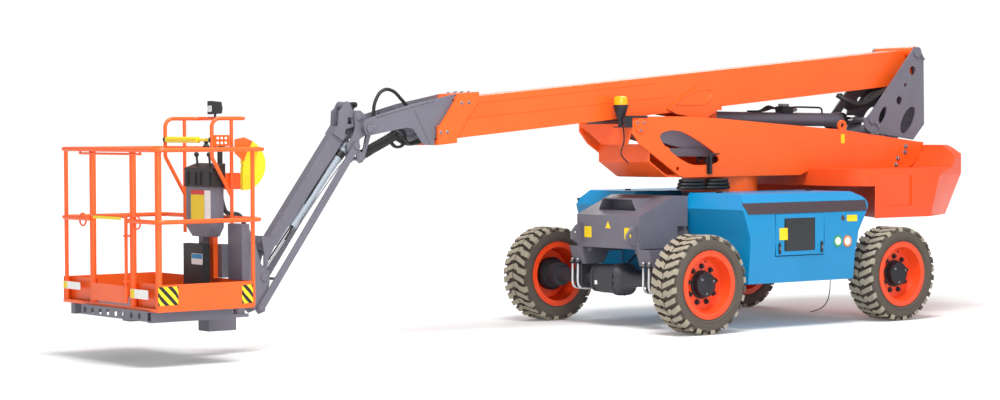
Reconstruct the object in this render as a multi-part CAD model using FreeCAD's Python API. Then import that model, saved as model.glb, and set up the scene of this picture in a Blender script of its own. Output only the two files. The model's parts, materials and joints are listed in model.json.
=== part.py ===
import FreeCAD, Part
import math
import os

# Self-propelled boom lift: four wheels, a turning turret, a riser that stays upright by a
# parallel link, a two-section telescopic boom, a parallelogram jib and a work platform.
# Millimetres, +Z up, ground at Z = 0. The platform points to -X, the counterweight to +X.
# The drawing is laid out about the turret's turning axis (X = 0, Y = 0); save() moves it to
# the middle of the machine's footprint.

V = FreeCAD.Vector
os.makedirs("parts", exist_ok=True)

# ---------------------------------------------------------------- driving dimensions
gap = 0.3                      # seat between pieces that touch
run_gap = 5.0                  # clearance between pieces that pass each other
plate = 20.0                   # heavy structural plate
sheet = 6.0                    # cover sheet

wheelbase = 2390.0
track = 2055.0                 # between the wheels' middle planes
wheel_radius = 430.0           # to the lug tips
wheel_width = 300.0
lug_height = 28.0
lug_count = 16                 # lugs each side of the tread
flange_radius = 298.0
barrel_radius = 255.0
spindle_radius = 45.0

kingpin_y = 850.0
kingpin_radius = 22.0
steer_arm = 130.0              # steering arm, kingpin to ball joint

frame_half = 340.0             # chassis box, half width
frame_bottom = 560.0
frame_top = 900.0
pod_inner = 360.0
pod_outer = 1150.0
pod_bottom = 410.0
pod_top = 1195.0
slew_base = 1190.0             # joint between chassis and turret
drum_radius = 350.0
turret_floor = 1310.0
tail_floor = 1362.0

side_inner = 345.0             # turret side plates
pivot_x = -1288.0              # riser's front pin
pivot_z = 1800.0
riser_pin_x = 1750.0           # riser's rear pin in the upright
riser_pin_z = 1740.0
link_dx = 310.0                # parallel link's pins, from the riser's pins
link_dz = -240.0
riser_half = 150.0
pin_radius = 30.0

upright_inner = 250.0
boom_pin_x = 2360.0
boom_pin_z = 2500.0
boom_angle = 5.15              # boom droops to the front when stowed
boom_length = 5490.0           # pin to the top of the front collar
boom_rake = 265.0              # collar's lower edge ahead of its upper edge
boom_depth = 332.0
boom_half = 150.0
boom_wall = 8.0
pin_below_top = 25.0           # boom pin below the boom's top face
fly_gap = 12.0                 # wear pads between base boom and fly
fly_wall = 6.0
fly_inside = 4300.0            # fly left in the base boom when retracted
nose_x = -4015.0               # pin at the boom nose
nose_z = 1780.0

lift_base_x = -170.0           # main lift cylinder: barrel's pin under the boom,
lift_base_z = 1862.0           # rod's pin in the upright
lift_rod_x = 1730.0
lift_rod_z = 1842.0
riser_front_eye = 55.0         # riser's front boss, clear of the boom's underside
riser_eye = 54.0               # riser's rear boss, clear of the lift rod's eye

arm_pin_dx = -65.0             # jib arm's upper pin from the nose pin
arm_pin_dz = 100.0
link_pin_dx = -106.0           # jib link's upper pin from the nose pin
link_pin_dz = -142.0
jib_base_dx = -150.0           # jib cylinder's upper pin from the nose pin
jib_base_dz = -146.0
jib_dx = -922.0                # jib, upper pins to lower pins
jib_dz = -1278.0
column_x = -5190.0             # platform's turning axis
deck_width = 1500.0            # platform across
deck_depth = 858.0             # platform fore and aft
deck_rear = -5495.0            # platform's rear rail
deck_z = 440.0
rail_height = 1190.0
rail_radius = 17.0

reach_front = -(deck_rear - deck_depth - rail_radius)
reach_rear = 2465.0            # upright's rear edge and counterweight
frame_shift = (reach_front - reach_rear) / 2.0


# ---------------------------------------------------------------- shape helpers
def box(x0, x1, y0, y1, z0, z1):
    return Part.makeBox(x1 - x0, y1 - y0, z1 - z0, V(x0, y0, z0))


def prism(points, axis, low, high):
    """Closed outline of two coordinates, extruded along one axis from low to high."""
    if axis == "y":
        corners = [V(a, low, b) for a, b in points]
        travel = V(0, high - low, 0)
    elif axis == "x":
        corners = [V(low, a, b) for a, b in points]
        travel = V(high - low, 0, 0)
    else:
        corners = [V(a, b, low) for a, b in points]
        travel = V(0, 0, high - low)
    return Part.Face(Part.makePolygon(corners + [corners[0]])).extrude(travel)


def rod_y(x, z, radius, y0, y1):
    return Part.makeCylinder(radius, y1 - y0, V(x, y0, z), V(0, 1, 0))


def rod_z(x, y, radius, z0, z1):
    return Part.makeCylinder(radius, z1 - z0, V(x, y, z0), V(0, 0, 1))


def rod(start, end, radius):
    line = end - start
    return Part.makeCylinder(radius, line.Length, start, line)


def fuse(shapes):
    joined = shapes[0]
    if len(shapes) > 1:
        joined = shapes[0].multiFuse(shapes[1:])
    return joined.removeSplitter()


def mirror_y(shape):
    return shape.mirror(V(0, 0, 0), V(0, 1, 0))


def both_sides(shape):
    return [shape, mirror_y(shape)]


def bent_tube(points, bends, radius):
    """Round tube through points, each inner corner rounded to its bend radius."""
    edges = []
    start = points[0]
    for i in range(1, len(points) - 1):
        corner = points[i]
        back = (points[i - 1] - corner).normalize()
        ahead = (points[i + 1] - corner).normalize()
        half = back.getAngle(ahead) / 2.0
        reach = bends[i - 1] / math.tan(half)
        first = corner + back * reach
        last = corner + ahead * reach
        middle_way = (back + ahead).normalize()
        middle = corner + middle_way * (bends[i - 1] / math.sin(half) - bends[i - 1])
        edges.append(Part.makeLine(start, first))
        edges.append(Part.Arc(first, middle, last).toShape())
        start = last
    edges.append(Part.makeLine(start, points[-1]))
    wire = Part.Wire(edges)
    heading = points[1] - points[0]
    ring = Part.Wire([Part.makeCircle(radius, points[0], heading)])
    return wire.makePipeShell([ring], True, False)


def save(shape, name):
    moved = shape.copy()
    moved.translate(V(frame_shift, 0, 0))
    moved.exportStep("parts/" + name + ".step")



# ---------------------------------------------------------------- wheels
def wheel_at(x, side):
    """Tyre and rim of one wheel; side is -1 near, +1 far."""
    y = side * track / 2.0
    half = wheel_width / 2.0
    tread_radius = wheel_radius - lug_height
    seat = half - 22.0

    def spin(profile):
        corners = [V(x, y + side * w, wheel_radius + r) for w, r in profile]
        face = Part.Face(Part.makePolygon(corners + [corners[0]]))
        return face.revolve(V(x, y, wheel_radius), V(0, 1, 0), 360)

    side_wall = [(seat, flange_radius + 2), (half - 4, flange_radius + 27), (half, 350),
                 (half - 4, tread_radius - 14), (seat, tread_radius)]
    outline = [(-w, r) for w, r in side_wall] + [(w, r) for w, r in reversed(side_wall)]
    tyre = spin([(-seat, barrel_radius + gap)] + outline + [(seat, barrel_radius + gap)])

    lugs = []
    lug_reach = half - 4
    sink = 6.0
    for i in range(lug_count):
        for hand in (-1, 1):
            turn = 360.0 * (i + (0.5 if hand > 0 else 0.0)) / lug_count
            lean = side * 55.0
            inner = 4.0
            bar = prism([(-22, hand * inner), (22, hand * inner),
                         (22 - lean, hand * lug_reach), (-22 - lean, hand * lug_reach)],
                        "z", tread_radius - sink, wheel_radius - 2)
            bar.translate(V(x, y, wheel_radius))
            bar.rotate(V(x, y, wheel_radius), V(0, 1, 0), turn)
            lugs.append(bar)
    tread = spin([(-half + 4, 0), (-half + 4, wheel_radius - 9), (-half + 16, wheel_radius),
                  (half - 16, wheel_radius), (half - 4, wheel_radius - 9), (half - 4, 0)])
    tyre = fuse([tyre] + [lug.common(tread) for lug in lugs])

    wall = 8.0
    disc = 20.0
    lip = seat + gap
    rim = spin([(-lip, barrel_radius - wall), (-lip, barrel_radius), (lip, barrel_radius),
                (lip, barrel_radius - wall), (70, barrel_radius - wall - 14),
                (disc + wall + 4, barrel_radius - 40), (disc + wall, 92), (disc + 62, 80),
                (disc + 62, 0), (disc + 4, 0), (disc + 4, spindle_radius + gap),
                (-60, spindle_radius + gap), (-60, 80), (disc, 92), (disc, barrel_radius - 34),
                (58, barrel_radius - wall)])
    flanges = [spin([(s * lip, barrel_radius - wall), (s * lip, flange_radius),
                     (s * (lip + wall), flange_radius), (s * (lip + wall), barrel_radius - wall)])
               for s in (-1, 1)]
    return tyre, fuse([rim] + flanges)


drive_x = -wheelbase / 2.0
steer_x = wheelbase / 2.0
for x, end in ((drive_x, "drive"), (steer_x, "steer")):
    for side, hand in ((-1, "near"), (1, "far")):
        tyre, rim = wheel_at(x, side)
        save(tyre, "tyre_" + end + "_" + hand)
        save(rim, "rim_" + end + "_" + hand)


# ---------------------------------------------------------------- axles and steering
hub_z = wheel_radius
spindle_end = track / 2.0 + 20.0


def drive_axle():
    tube = rod_y(drive_x, hub_z, 62, -track / 2 + 75, track / 2 - 75)
    spindle = rod_y(drive_x, hub_z, spindle_radius, -spindle_end, spindle_end)
    case = Part.makeSphere(126, V(drive_x, 0, hub_z))
    nose_case = Part.makeCone(110, 60, 190, V(drive_x + 60, 0, hub_z), V(1, 0, 0))
    brakes = [rod_y(drive_x, hub_z, 105, track / 2 - 190, track / 2 - 75)]
    seats = [box(drive_x - 75, drive_x + 75, 430, 540, hub_z - 75, frame_bottom - gap)]
    parts = [tube, spindle, case, nose_case]
    for piece in brakes + seats:
        parts += both_sides(piece)
    for y in (450, 520):
        for x in (drive_x - 88, drive_x + 88):
            parts += both_sides(rod_z(x, y, 10, hub_z - 100, frame_bottom - gap))
        strap = box(drive_x - 98, drive_x + 98, y - 14, y + 14, hub_z - 100, hub_z - 74)
        parts += both_sides(strap)
    return fuse(parts)


boss_half = 62.0               # axle boss between the knuckle's ears
barrel_half = 300.0
steer_z = hub_z + 61.0


def steer_axle():
    beam = box(steer_x - 70, steer_x + 70, -kingpin_y + 90, kingpin_y - 90,
               hub_z - 60, hub_z + 60)
    necks = both_sides(box(steer_x - 40, steer_x + 40, kingpin_y - 92, kingpin_y,
                           hub_z - 45, hub_z + 45))
    bosses = both_sides(rod_z(steer_x, kingpin_y, 42, hub_z - boss_half, hub_z + boss_half))
    saddle = box(steer_x - 90, steer_x + 90, -110, 110, hub_z + 60, frame_bottom - gap)
    cylinder_x = steer_x - steer_arm
    barrel = rod_y(cylinder_x, steer_z, 38, -barrel_half, barrel_half)
    bore = rod_y(cylinder_x, steer_z, 16 + gap, -barrel_half - 1, barrel_half + 1)
    clamps = both_sides(box(cylinder_x - 20, steer_x - 60, barrel_half - 90, barrel_half - 50,
                            hub_z - 10, steer_z + 30))
    holes = both_sides(rod_z(steer_x, kingpin_y, kingpin_radius + gap,
                             hub_z - boss_half - 1, hub_z + boss_half + 1))
    body = fuse([beam, saddle, barrel] + necks + bosses + clamps)
    return body.cut(Part.makeCompound([bore] + holes))


def steer_knuckle():
    """Far side knuckle: forked ears on the kingpin, spindle outward, arm inboard."""
    low = hub_z - boss_half - gap
    high = hub_z + boss_half + gap
    ear = 24.0
    ears = [rod_z(steer_x, kingpin_y, 40, low - ear, low),
            rod_z(steer_x, kingpin_y, 40, high, high + ear)]
    arms = [box(steer_x - 38, steer_x + 38, kingpin_y, kingpin_y + 78, low - ear, low),
            box(steer_x - 38, steer_x + 38, kingpin_y, kingpin_y + 78, high, high + ear)]
    back = box(steer_x - 55, steer_x + 55, kingpin_y + 52, kingpin_y + 78, low - ear, high + ear)
    pin = rod_z(steer_x, kingpin_y, kingpin_radius, low - ear - 8, high + ear + 8)
    spindle = rod_y(steer_x, hub_z, spindle_radius, kingpin_y + 52, spindle_end)
    arm_z = steer_z - 21.0 - 20.0
    arm = box(steer_x - steer_arm, steer_x - 50, kingpin_y + 56, kingpin_y + 78,
              arm_z - 20, arm_z + 20)
    pad = prism([(steer_x - steer_arm - 24, kingpin_y - 24),
                 (steer_x - steer_arm + 24, kingpin_y - 24),
                 (steer_x - steer_arm + 50, kingpin_y + 78),
                 (steer_x - steer_arm - 24, kingpin_y + 78)], "z", arm_z, arm_z + 20)
    return fuse([back, pin, spindle, arm, pad] + ears + arms)


def steer_rod():
    cylinder_x = steer_x - steer_arm
    bar = rod_y(cylinder_x, steer_z, 16, -kingpin_y, kingpin_y)
    eyes = both_sides(rod_z(cylinder_x, kingpin_y, 26, steer_z - 15, steer_z + 15))
    return fuse([bar] + eyes)


save(drive_axle(), "drive_axle")
save(steer_axle(), "steer_axle")
save(steer_knuckle(), "steer_knuckle_far")
save(mirror_y(steer_knuckle()), "steer_knuckle_near")
save(steer_rod(), "steer_rod")


# ---------------------------------------------------------------- chassis
cover_front = drive_x - 159.0
cover_back = drive_x + 244.0
axle_bay = drive_x + 295.0     # front wall of the chassis box
cover_half = 425.0
cover_low = 710.0
cover_brow = 1000.0
eye_x = cover_front - 60.0     # tie-down eyes
eye_z = 830.0
eye_radius = 22.0


strap_radius = 4.5             # earthing strap, hung under the rear wall
strap_x = steer_x + 127.0
strap_y = -125.0
strap_route = [(0, 0, frame_bottom - 6), (0, 0, 470), (-2, 0, 380), (-3, 0, 290),
               (-6, 3, 205), (-26, 7, 125), (-82, 13, 62), (-162, 21, 34), (-246, 27, 22)]


def chassis_frame():
    rear = steer_x + 135.0
    body = box(axle_bay, rear, -frame_half, frame_half, frame_bottom, frame_top)
    inside = box(axle_bay + plate, rear - plate, -frame_half + plate, frame_half - plate,
                 frame_bottom + plate, frame_top - plate)
    ends = box(drive_x - 95, axle_bay, -frame_half, frame_half, frame_bottom, cover_low - gap)
    seats = both_sides(box(drive_x - 100, drive_x + 100, frame_half, 560,
                           frame_bottom, frame_bottom + 40))
    drum = rod_z(0, 0, drum_radius, frame_top, slew_base - 40)
    clamp = box(strap_x - 16, rear - 1, strap_y - 15, strap_y + 15,
                frame_bottom - 34, frame_bottom + 1)
    clamp = clamp.cut(rod_z(strap_x, strap_y, strap_radius + gap, 0, frame_bottom - 2))
    return fuse([body.cut(inside), ends, drum, clamp] + seats)


def drag_strap():
    """Earthing strap hung from its clamp: straight runs and the arcs that join them."""
    route = [V(strap_x + dx, strap_y + dy, z) for dx, dy, z in strap_route]
    bends = []
    for before, corner, after in zip(route, route[1:], route[2:]):
        back = before - corner
        ahead = after - corner
        shorter = min(back.Length, ahead.Length)
        bends.append(0.45 * shorter * math.tan(back.getAngle(ahead) / 2.0))
    print("drag strap: smallest bend radius %.1f mm" % min(bends))
    return bent_tube(route, bends, strap_radius)


def pod_outline(inset):
    """Side view of a pod: upright at the drive end, hollowed round the wheel behind."""
    return [(-700 + inset, pod_bottom + inset), (-700 + inset, 820), (-780 + inset, 1060),
            (-705 + inset, pod_top - inset), (665 - inset, pod_top - inset),
            (755 - inset, 1150), (780 - inset, 1085), (768 - inset, 1045),
            (640 - inset, 840), (603 - inset, 640), (600 - inset, pod_bottom + inset)]


def pod_section(inset):
    """End view of a pod, far side: upright side, rolled shoulder and flat roof."""
    return [(pod_inner + inset, pod_bottom + inset), (pod_outer - 30 - inset, pod_bottom + inset),
            (pod_outer - inset, 760), (pod_outer - 8 - inset, 1040),
            (pod_outer - 30 - inset, 1120), (pod_outer - 130 - inset, pod_top - inset),
            (pod_inner + inset, pod_top - inset)]


def pod_solid(inset):
    side = prism(pod_outline(inset), "y", pod_inner + inset, pod_outer)
    end = prism(pod_section(inset), "x", -800, 830)
    return side.common(end)


door_x0 = -390.0
door_x1 = 200.0
door_z0 = 650.0
door_z1 = 1015.0
recess = 90.0


def pods():
    shell = pod_solid(0).cut(pod_solid(sheet))
    near = mirror_y(shell)
    frame = box(door_x0 - 25, door_x1 + 25, -pod_outer + 12, -pod_outer + recess + 10,
                door_z0 - 25, door_z1 + 25)
    well = box(door_x0 - 6, door_x1 + 6, -pod_outer - 20, -pod_outer + recess,
               door_z0 - 6, door_z1 + gap)
    frame = frame.common(mirror_y(pod_solid(0)))
    near = fuse([near, frame]).cut(well)
    return near, shell


near_pod, far_pod = pods()
save(near_pod, "pod_near")
save(far_pod, "pod_far")
block_inner = pod_inner + 60
block_outer = pod_outer - 150
block_floor = pod_bottom + sheet + gap
save(box(-520, 420, block_inner, block_outer, block_floor, 980), "engine_block")
save(box(-560, 480, -block_outer, -block_inner, block_floor, 900), "battery_block")
save(chassis_frame(), "chassis_frame")
save(drag_strap(), "drag_strap")

# hatch over the ground controls, hinged along its top edge
door_y = -pod_outer + 12
window = box(-290, 90, door_y - 30, door_y + 30, 690, 975)
door = box(door_x0, door_x1, door_y - 14, door_y + 4, door_z0, door_z1)
hinge_pin_z = door_z1 - 8
save(door.cut(window), "panel_door")
save(box(-290 + gap, 90 - gap, door_y - 8, door_y - 2, 690 + gap, 975 - gap), "panel_window")
controls_back = -pod_outer + recess - gap
save(box(door_x0 + 30, door_x1 - 30, controls_back - 40, controls_back, 700, 960),
     "ground_controls")


def end_cover():
    back = axle_bay + 120 - gap
    outline = [(cover_front, cover_low), (cover_front, cover_brow), (cover_back, 1170),
               (back, 1170), (back, frame_top + gap), (axle_bay - gap, frame_top + gap),
               (axle_bay - gap, cover_low)]
    hood = prism(outline, "y", -cover_half, cover_half)
    lugs = []
    for y in (-395, 365):
        lug = prism([(cover_front, cover_low + 10), (cover_front, eye_z + 90),
                     (cover_front - 45, eye_z + 75), (cover_front - 105, eye_z + 10),
                     (cover_front - 105, eye_z - 50)], "y", y, y + 30)
        eye = rod_y(eye_x, eye_z, eye_radius, y - 1, y + 31)
        lugs.append(lug.cut(eye))
    scoop = prism([(-275, 1000), (275, 1000), (205, 1150), (-205, 1150)], "x",
                  cover_front + 114, cover_back - 9)
    mouth = prism([(-255, 1040), (255, 1040), (190, 1140), (-190, 1140)], "x",
                  cover_front + 104, cover_front + 254)
    body = fuse([hood, scoop] + lugs)
    return body.cut(mouth)


save(end_cover(), "end_cover")
ring = rod_z(0, 0, drum_radius, slew_base - 40 + gap, slew_base)
save(ring, "slew_ring")


# ---------------------------------------------------------------- turret
side_outer = side_inner + plate
panel_x = pivot_x - 75         # cross panel ahead of the riser's hub
link_pin_x = pivot_x + link_dx
link_pin_z = pivot_z + link_dz
riser_base_x = 1200.0          # riser's lift cylinder pins
riser_base_z = 1432.0
riser_rod_x = -200.0
riser_rod_z = 1478.0
tail_x = 2352.0                # turret's rear tip


def turret_side():
    """Far side plate with its leaf-shaped opening and lifting lug."""
    front = panel_x - 18
    outline = [(front, pivot_z - 57), (front, pivot_z + 37), (pivot_x - 34, pivot_z + 77),
               (-696, 1876), (-332, 1858), (1216, 1751), (tail_x - 78, 1632),
               (tail_x, 1627), (tail_x - 28, 1525), (tail_x - 162, 1405), (2030, tail_floor),
               (760, tail_floor), (690, turret_floor + 23), (-770, turret_floor + 23),
               (-832, turret_floor + 42), (pivot_x, pivot_z - 165)]
    side = prism(outline, "y", side_inner, side_outer)
    lug = rod_y(1238, 1788, 54, side_inner, side_outer)
    leaf_edge = Part.BSplineCurve()
    leaf_edge.interpolate([V(-1018, side_inner - 1, 1735), V(-860, side_inner - 1, 1752),
                           V(-640, side_inner - 1, 1680), V(-345, side_inner - 1, 1470),
                           V(-560, side_inner - 1, 1440), V(-760, side_inner - 1, 1475)],
                          PeriodicFlag=True)
    leaf = Part.Face(Part.Wire(leaf_edge.toShape())).extrude(V(0, plate + 2, 0))
    holes = [leaf, rod_y(1238, 1792, 24, side_inner - 1, side_outer + 1),
             rod_y(-841, 1471 - 60, 20, side_inner - 1, side_outer + 1)]
    return fuse([side, lug]).cut(Part.makeCompound(holes))


def turret_frame():
    parts = both_sides(turret_side())
    parts.append(box(-770, 700, -side_inner, side_inner, turret_floor + 23,
                     turret_floor + 23 + plate))
    parts.append(box(690, 2030, -side_inner, side_inner, tail_floor, tail_floor + plate))
    parts.append(rod_z(0, 0, drum_radius, slew_base + gap, turret_floor + 23))
    parts.append(prism([(-side_inner, pivot_z + 11), (-side_inner, pivot_z - 60),
                        (-291, 1627), (54, 1632), (286, 1767), (side_inner, pivot_z - 15),
                        (side_inner, pivot_z + 11)], "x", panel_x - 18, panel_x))
    parts += both_sides(rod_y(pivot_x, pivot_z, 62, side_inner - 40, side_outer + 12))
    parts += both_sides(rod_y(link_pin_x, link_pin_z, 48, side_inner - 40, side_outer))
    body = fuse(parts)
    pins = [rod_y(pivot_x, pivot_z, pin_radius, -side_outer - 16, side_outer + 16),
            rod_y(link_pin_x, link_pin_z, pin_radius - 5, -side_outer, side_outer)]
    lugs = [box(riser_base_x - 45, riser_base_x + 45, y, y + 16, tail_floor,
                riser_base_z + 40) for y in (-60, 44)]
    lug_pin = rod_y(riser_base_x, riser_base_z, 20, -60, 60)
    return fuse([body, lug_pin] + pins + lugs)


weight_rear = reach_rear - 10
weight_low = 940.0
weight_waist = 1330.0          # the block tapers below this height
weight_ledge = tail_floor + 26
weight_side = 1000.0
clear_radius = 1420.0          # swing over the pods


def counterweight():
    """Cast block behind the turret, clear of the pods when it turns."""
    def plan(pull, z):
        half = [(780, 0), (780, 800), (900, weight_side), (1880 - pull, weight_side),
                (weight_rear - 25 - pull, 775 - 0.6 * pull), (weight_rear - pull, 560)]
        ring = half + [(x, -y) for x, y in reversed(half[1:])]
        corners = [V(x, y, z) for x, y in ring]
        return Part.makePolygon(corners + [corners[0]])

    taper = Part.makeLoft([plan(135, weight_low), plan(0, weight_waist)], True, True)
    crown = Part.Face(plan(0, weight_waist)).extrude(V(0, 0, 320))
    block = fuse([taper, crown])
    roof = prism([(-weight_side, weight_low - 10), (-weight_side, weight_waist - 20),
                  (-weight_side + 40, weight_ledge), (-775, 1517), (-600, 1600), (600, 1600),
                  (775, 1517), (weight_side - 40, weight_ledge),
                  (weight_side, weight_waist - 20), (weight_side, weight_low - 10)],
                 "x", 0, weight_rear + 10)
    horn = prism([(0, weight_low - 10), (weight_rear + 5, weight_low - 10),
                  (weight_rear + 5, 1560), (weight_rear - 40, 1616), (tail_x + 6, 1616),
                  (tail_x - 28, 1530), (tail_x - 162, weight_ledge), (0, weight_ledge)],
                 "y", -weight_side - 10, weight_side + 10)
    swing = rod_z(0, 0, clear_radius, weight_low - 40, pod_top + 40)
    slot = box(0, tail_x + gap, -side_outer - gap, side_outer + gap, tail_floor - gap, 1700)
    recesses = both_sides(box(1080, 1500, weight_side - 14, weight_side + 10, 1045, 1337))
    cuts = Part.makeCompound([swing, slot] + recesses)
    return block.common(roof).common(horn).cut(cuts)


def side_box():
    """Narrow tool locker hung on the far side plate."""
    roof = 1597.0
    outline = [(-948, roof), (-301, roof), (-301, turret_floor + 5), (-698, turret_floor + 15),
               (-886, 1452)]
    return prism(outline, "y", side_outer + gap, 620)


beacon_x = -1420.0
beacon_y = -260.0
beacon_foot = pivot_z - 10


def beacon_base():
    """Stem, flared holder and collar on a folded bracket off the near side plate."""
    edge = [(0, 0), (23, 0), (23, 68), (32, 68), (58, 150), (58, 176), (0, 176)]
    corners = [V(beacon_x + r, beacon_y, beacon_foot + h) for r, h in edge]
    face = Part.Face(Part.makePolygon(corners + [corners[0]]))
    holder = face.revolve(V(beacon_x, beacon_y, 0), V(0, 0, 1), 360)
    strap_out = -side_outer - gap - 12
    strap_in = -side_outer - gap
    front = beacon_x - 50
    shelf = box(front, panel_x - 18 - gap, strap_out, beacon_y + 45, beacon_foot - 10, beacon_foot)
    arm = box(front, pivot_x + 80, strap_out, strap_in, pivot_z + 66, pivot_z + 84)
    web = box(front, panel_x - 22, strap_out, strap_in, beacon_foot - 10, pivot_z + 84)
    arm = arm.cut(rod_y(pivot_x, pivot_z, 62 + gap, -side_outer - 20, 0))
    return fuse([holder, shelf, arm, web])


def beacon_lens():
    """Amber dome, a little flattened on top."""
    low = beacon_foot + 176 + gap
    dome = Part.makeSphere(140, V(beacon_x, beacon_y, low - 47))
    return rod_z(beacon_x, beacon_y, 61, low, low + 110).common(dome)


save(turret_frame(), "turret_frame")
save(counterweight(), "counterweight")
save(side_box(), "side_box")
save(beacon_base(), "beacon_base")
save(beacon_lens(), "beacon_lens")


# ---------------------------------------------------------------- riser, link and upright
far_pin_x = riser_pin_x + link_dx
far_pin_z = riser_pin_z + link_dz


def bored(shape, holes):
    return shape.cut(Part.makeCompound(holes))


def riser_arm():
    outline = [(pivot_x, pivot_z + riser_front_eye), (-900, 1790), (200, 1705), (1450, 1672),
               (riser_pin_x, riser_pin_z + riser_eye), (riser_pin_x + 52, riser_pin_z),
               (riser_pin_x, riser_pin_z - riser_eye), (1400, 1545), (-600, 1590),
               (pivot_x, pivot_z - riser_front_eye)]
    beam = prism(outline, "y", -riser_half, riser_half)
    ends = [rod_y(pivot_x, pivot_z, riser_front_eye, -side_inner + 40 + run_gap,
                  side_inner - 40 - run_gap),
            rod_y(riser_pin_x, riser_pin_z, riser_eye, -upright_inner + run_gap,
                  upright_inner - run_gap)]
    lug = prism([(riser_rod_x - 60, 1600), (riser_rod_x + 60, 1600),
                 (riser_rod_x + 34, riser_rod_z - 28), (riser_rod_x - 34, riser_rod_z - 28)],
                "y", 38, 54)
    stub = rod_y(riser_rod_x, riser_rod_z, 16, 39, 62)
    body = fuse([beam] + ends + both_sides(lug) + both_sides(stub))
    return bored(body, [rod_y(pivot_x, pivot_z, pin_radius + gap, -400, 400),
                        rod_y(riser_pin_x, riser_pin_z, pin_radius + gap, -400, 400)])


def side_bar(a, b, depth, eye, y0, y1):
    """Flat bar with round eyes, from a to b in side view."""
    way = (b - a).normalize()
    across = V(-way.z, 0, way.x) * (depth / 2)
    bar = prism([((a + across).x, (a + across).z), ((b + across).x, (b + across).z),
                 ((b - across).x, (b - across).z), ((a - across).x, (a - across).z)],
                "y", y0, y1)
    return fuse([bar, rod_y(a.x, a.z, eye, y0, y1), rod_y(b.x, b.z, eye, y0, y1)])


def riser_link():
    """Two flat bars, one each side of the riser."""
    low = riser_half + 40
    a = V(link_pin_x, 0, link_pin_z)
    b = V(far_pin_x, 0, far_pin_z)
    bar = side_bar(a, b, 72, 46, low, low + 24)
    tie = rod_y(b.x - 130, b.z, 20, -low, low)
    body = fuse(both_sides(bar) + [tie])
    return bored(body, [rod_y(a.x, a.z, pin_radius - 5 + gap, -400, 400),
                        rod_y(b.x, b.z, pin_radius - 5 + gap, -400, 400)])


upright_outer = upright_inner + plate


def oval_hole(x, z, half_long, half_wide, tilt):
    """Oval cutter through the far side plate, its long axis tilted back."""
    ellipse = Part.Ellipse(V(0, -60, 0), half_long, half_wide)
    ellipse.Axis = V(0, 1, 0)
    hole = Part.Face(Part.Wire(ellipse.toShape())).extrude(V(0, 120, 0))
    hole.rotate(V(0, 0, 0), V(0, 1, 0), -tilt)
    hole.translate(V(x, upright_inner + plate / 2, z))
    return hole


def upright():
    side = prism([(2290, 2500), (2330, 2548), (2390, 2548), (2455, 2455), (reach_rear, 1800),
                  (2310, 1650), (1690, 1730), (1636, 1775), (1640, 1838), (1722, 1905)],
                 "y", upright_inner, upright_outer)
    holes = [rod_y(2300, 2320, 44, 200, 300), rod_y(2200, 2180, 20, 200, 300),
             rod_y(2115, 2029, 41, 200, 300),
             oval_hole(2235, 1840, 150, 75, 55), oval_hole(1885, 1889, 90, 42, 60)]
    side = bored(side, holes)
    lug = prism([(far_pin_x - 120, 1760), (far_pin_x + 60, 1760), (far_pin_x + 50, far_pin_z - 50),
                 (far_pin_x - 50, far_pin_z - 50)], "y", upright_inner - 18, upright_inner)
    rear_web = box(2445, 2463, -upright_inner, upright_inner, 1830, 2400)
    low_web = prism([(2100, 1700), (2300, 1672), (2452, 1820), (2440, 1834), (2292, 1690),
                     (2100, 1718)], "y", -upright_inner, upright_inner)
    sides = both_sides(fuse([side, lug]))
    pins = [rod_y(riser_pin_x, riser_pin_z, pin_radius, -upright_outer, upright_outer),
            rod_y(far_pin_x, far_pin_z, pin_radius - 5, -upright_inner, upright_inner),
            rod_y(lift_rod_x, lift_rod_z, 24, -upright_outer - 8, upright_outer + 8),
            rod_y(boom_pin_x, boom_pin_z, pin_radius, -upright_outer - 8, upright_outer + 8)]
    return fuse(sides + [rear_web, low_web] + pins)


save(riser_arm(), "riser_arm")
save(riser_link(), "riser_link")
save(upright(), "upright")


# ---------------------------------------------------------------- cylinders
pin_proud = 3.0                # a free eye's own short pin, beyond the eye's faces


def cylinder_pair(base, end, bore_radius, rod_radius, eye_radius, pins, eye_half, gland_at,
                  free_end):
    """Barrel with its base eye on base, rod with its eye on end; the gland closes the barrel.

    The eye at the free end holds a short pin of its own, clear of the stubs beside it.
    """
    line = end - base
    length = line.Length
    way = V(line).normalize()
    barrel_end = length - gland_at
    barrel = rod(base + way * (eye_radius * 0.6), base + way * barrel_end, bore_radius)
    gland = rod(base + way * (barrel_end - 60), base + way * barrel_end, bore_radius + 6)
    eye = rod_y(base.x, base.z, eye_radius, -eye_half, eye_half)
    hollow = rod(base + way * (eye_radius + 40), base + way * (barrel_end + 1), rod_radius + gap)
    base_pin, end_pin = pins
    own_half = eye_half + pin_proud
    reach = own_half + bore_radius
    body = fuse([barrel, gland, eye]).cut(hollow)
    piston = rod(base + way * (eye_radius + 60), end - way * (eye_radius * 0.5), rod_radius)
    rod_eye = rod_y(end.x, end.z, eye_radius - 2, -eye_half, eye_half)
    moving = fuse([piston, rod_eye])
    if free_end == "base":
        body = fuse([body, rod_y(base.x, base.z, base_pin, -own_half, own_half)])
        moving = bored(moving, [rod_y(end.x, end.z, end_pin + gap, -reach, reach)])
    else:
        body = bored(body, [rod_y(base.x, base.z, base_pin + gap, -reach, reach)])
        moving = fuse([moving, rod_y(end.x, end.z, end_pin, -own_half, own_half)])
    return body, moving


lift_barrel, lift_rod = cylinder_pair(V(lift_base_x, 0, lift_base_z),
                                      V(lift_rod_x, 0, lift_rod_z), 64, 34, 46, (26, 24), 62, 165,
                                      "base")
save(lift_barrel, "lift_barrel")
save(lift_rod, "lift_rod")
riser_barrel, riser_rod = cylinder_pair(V(riser_base_x, 0, riser_base_z),
                                        V(riser_rod_x, 0, riser_rod_z), 42, 24, 32, (20, 16),
                                        32, 62, "rod")
save(riser_barrel, "riser_barrel")
save(riser_rod, "riser_rod")


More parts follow.
